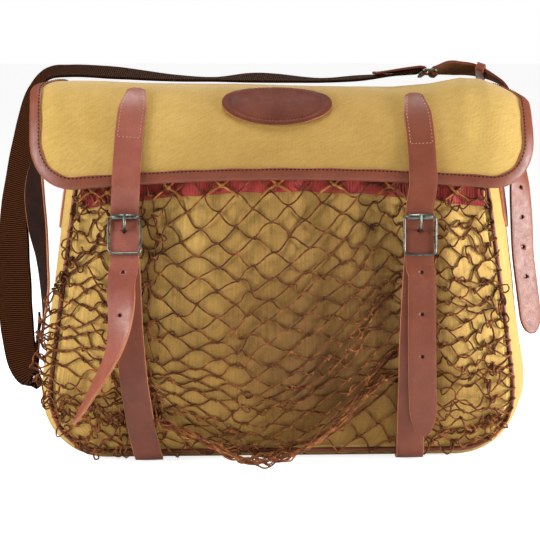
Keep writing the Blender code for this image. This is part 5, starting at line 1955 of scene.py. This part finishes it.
# %% Let the net fall
def keep_apart(points, free, distance):
    """Strands that come too close are pushed apart."""
    order = np.argsort(points[:, 0])
    for shift in range(1, NEIGHBOURS + 1):
        a, b = order[:-shift], order[shift:]
        gap = points[b] - points[a]
        length = np.linalg.norm(gap, axis=1)
        near = (length < distance) & (length > 1e-6)
        if not near.any():
            continue
        push = gap[near] / length[near, None] * ((distance - length[near]) * 0.25)[:, None]
        np.add.at(points, a[near], -push * free[a[near], None])
        np.add.at(points, b[near], push * free[b[near], None])


def push_out(points, free):
    x, y, z = points.T
    limit = surface_depth(x, z) - NET_ROOM
    y = np.minimum(y, limit)
    for middles, backs in STRAP_COVER:
        middle = np.interp(z, STRAP_HEIGHTS, middles)
        back = np.interp(z, STRAP_HEIGHTS, backs) + STRAP_LEATHER / 2 + TWINE_RADIUS + 0.2
        under = (np.abs(x - middle) < STRAP_WIDTH / 2 + 1.2) & (z < 200)
        y = np.where(under, np.maximum(y, np.minimum(back, limit)), y)
    y = np.maximum(y, FOREMOST_Y)
    points[:, 1] = np.where(free > 0, y, points[:, 1])
    points[:, 2] = np.where(free > 0, np.maximum(z, TWINE_RADIUS + 0.4), z)
    return y > limit - 1.5


def fall(steps, sweeps):
    points, free = start_points()
    speed = np.zeros_like(points)
    rest = NET_BAR / LINKS
    inner = np.array([[chain[k - 1], chain[k], chain[k + 1]] for chain in BARS for k in range(1, LINKS)])
    curl = random.normal(0, BAR_CURL, (len(BARS), 1, 3))
    curl = curl + random.normal(0, LINK_CURL, (len(BARS), LINKS - 1, 3))
    curl[:, :, 2] += np.linspace(BAR_ARCH, -BAR_ARCH, LINKS - 1)
    curl = curl.reshape(-1, 3)
    masses = [(free[group[:, 0]], free[group[:, 1]]) for group in LINK_GROUPS]
    folded = [
        k for k, (row, _) in enumerate(KNOTS)
        if 0 <= row - FOLD_ROW < FOLD_ROWS and free[k] > 0 and -150 < points[k, 0] < 115
    ]
    touching = np.zeros(POINTS, dtype=bool)
    for step in range(steps):
        before = points.copy()
        speed[:, 2] -= np.where(touching, GRAVITY_ON_CLOTH, GRAVITY)
        speed[:, 1] += PUSH_TO_BAG
        points += speed * free[:, None]
        for _ in range(sweeps):
            for group, (first, second) in zip(LINK_GROUPS, masses):
                gap = points[group[:, 1]] - points[group[:, 0]]
                length = np.linalg.norm(gap, axis=1)
                weight = np.maximum(first + second, 1e-9)
                error = (length - rest) / np.maximum(length, 1e-9) / weight
                points[group[:, 0]] += gap * (error * first)[:, None]
                points[group[:, 1]] -= gap * (error * second)[:, None]
        straight = (points[inner[:, 0]] + points[inner[:, 2]]) / 2 + curl
        points[inner[:, 1]] += (straight - points[inner[:, 1]]) * CURL_STRENGTH
        if step % 4 == 0:
            keep_apart(points, free, 2 * TWINE_RADIUS + 0.4)
        for k in folded:
            points[k, 2] += (lookup(FOLD_LINE, points[k, 0]) - points[k, 2]) * FOLD_STRENGTH
        touching = push_out(points, free)
        speed = (points - before) * np.where(touching, SPEED_KEPT_ON_CLOTH, SPEED_KEPT)[:, None]
        longest = np.linalg.norm(speed, axis=1)
        speed *= np.minimum(1.0, TOP_SPEED / np.maximum(longest, 1e-9))[:, None]
    return points


NET_POINTS = fall(FALL_STEPS["full"], LINK_SWEEPS)
_, foremost, lowest = NET_POINTS.min(axis=0)
print("the net comes down to z =", lowest.round(1), "and forward to y =", foremost.round(1))


# %% Twine and knots
def knots_piece(name):
    """A knot is two small lumps of twine drawn tight round the crossing."""
    bm = bmesh.new()
    for number in range(len(KNOTS)):
        centre = Matrix.Translation(Vector(NET_POINTS[number]) * MM)
        for k in range(2):
            angle = random.uniform(0, math.tau)
            turn = Matrix.Rotation(angle, 4, Vector(random.normal(0, 1, 3)).normalized())
            size = KNOT_RADIUS * random.uniform(0.85, 1.15) * MM
            shape = Matrix.Diagonal((size * 1.35, size * 0.8, size * 0.8, 1))
            offset = Matrix.Translation((0, (k - 0.5) * 0.5 * MM, 0))
            bmesh.ops.create_icosphere(bm, subdivisions=1, radius=1, matrix=centre @ turn @ offset @ shape)
    return new_piece(name, bm)


strands = [along_route(Route([NET_POINTS[number] for number in chain]), 2 * LINKS) for chain in BARS]
net_twine = tube_piece("net_twine", strands, TWINE_RADIUS, resolution=1)
announce(
    finish_piece(net_twine, [TWINE_LOOK], "net"),
    finish_piece(knots_piece("net_knots"), [TWINE_LOOK], "net"),
)


# %% Head cord and lacing
HEAD_CORD_HALF = 178.0
HEAD_CORD_RADIUS = 1.2
LACING_RADIUS = 1.05
LACING_KNOT_RADIUS = 2.4
ON_HEM = CANVAS + BAND + 3.4
# One strand of a crossing: share of the half width, height, and how far it passes over the other strand
STRAND = ((-1.0, 20, 0), (-0.55, 8, 0), (-0.12, 1.2, 1.1), (0.15, -1.2, 1.1), (0.6, -5, 0), (1.0, -10, 0))
# Crossings of doubled twine that lace the net to the hem: x, half width at the foot, height of the knot
LACING = ((-172, 12, 247), (-158, 11, 246), (-104, 13, 250), (-56, 15, 252), (-6, 15, 253), (45, 15, 253),
          (96, 13, 251), (156, 14, 245))


def head_cord():
    points = []
    for x in even_steps(-HEAD_CORD_HALF, HEAD_CORD_HALF, 80):
        points.append((x, pocket_front(x, band_top(x) - 2) - 3.4, band_top(x) + 3 + 0.4 * math.sin(x / 9)))
    cord = tube_piece("net_cord", [points], HEAD_CORD_RADIUS)
    return finish_piece(cord, [TWINE_LOOK], "net_head_cord")


def lacing_strand(number, side, middle, half, height):
    points = []
    for across, up, over in STRAND:
        x, z = middle + side * half * across, height + up
        points.append((x, pocket_front(x, z) - ON_HEM - side * over, z))
    cord = tube_piece(f"lacing_{number}", [along_route(Route(points), 12)], LACING_RADIUS)
    return finish_piece(cord, [LIT_LACING_LOOK], "net")


def lacing():
    """Two strands from behind the flap cross in a knot on the hem and spread into the net below it."""
    bm = bmesh.new()
    for x, _, z in LACING:
        centre = Matrix.Translation(Vector((x, pocket_front(x, z) - ON_HEM - 0.2, z)) * MM)
        bmesh.ops.create_icosphere(bm, subdivisions=2, radius=LACING_KNOT_RADIUS * MM, matrix=centre)
    made = [finish_piece(new_piece("lacing_knots", bm), [LIT_LACING_LOOK], "net")]
    for x, half, z in LACING:
        for side in (-1, 1):
            made.append(lacing_strand(len(made), side, x, half, z))
    return made


announce(head_cord(), *lacing())
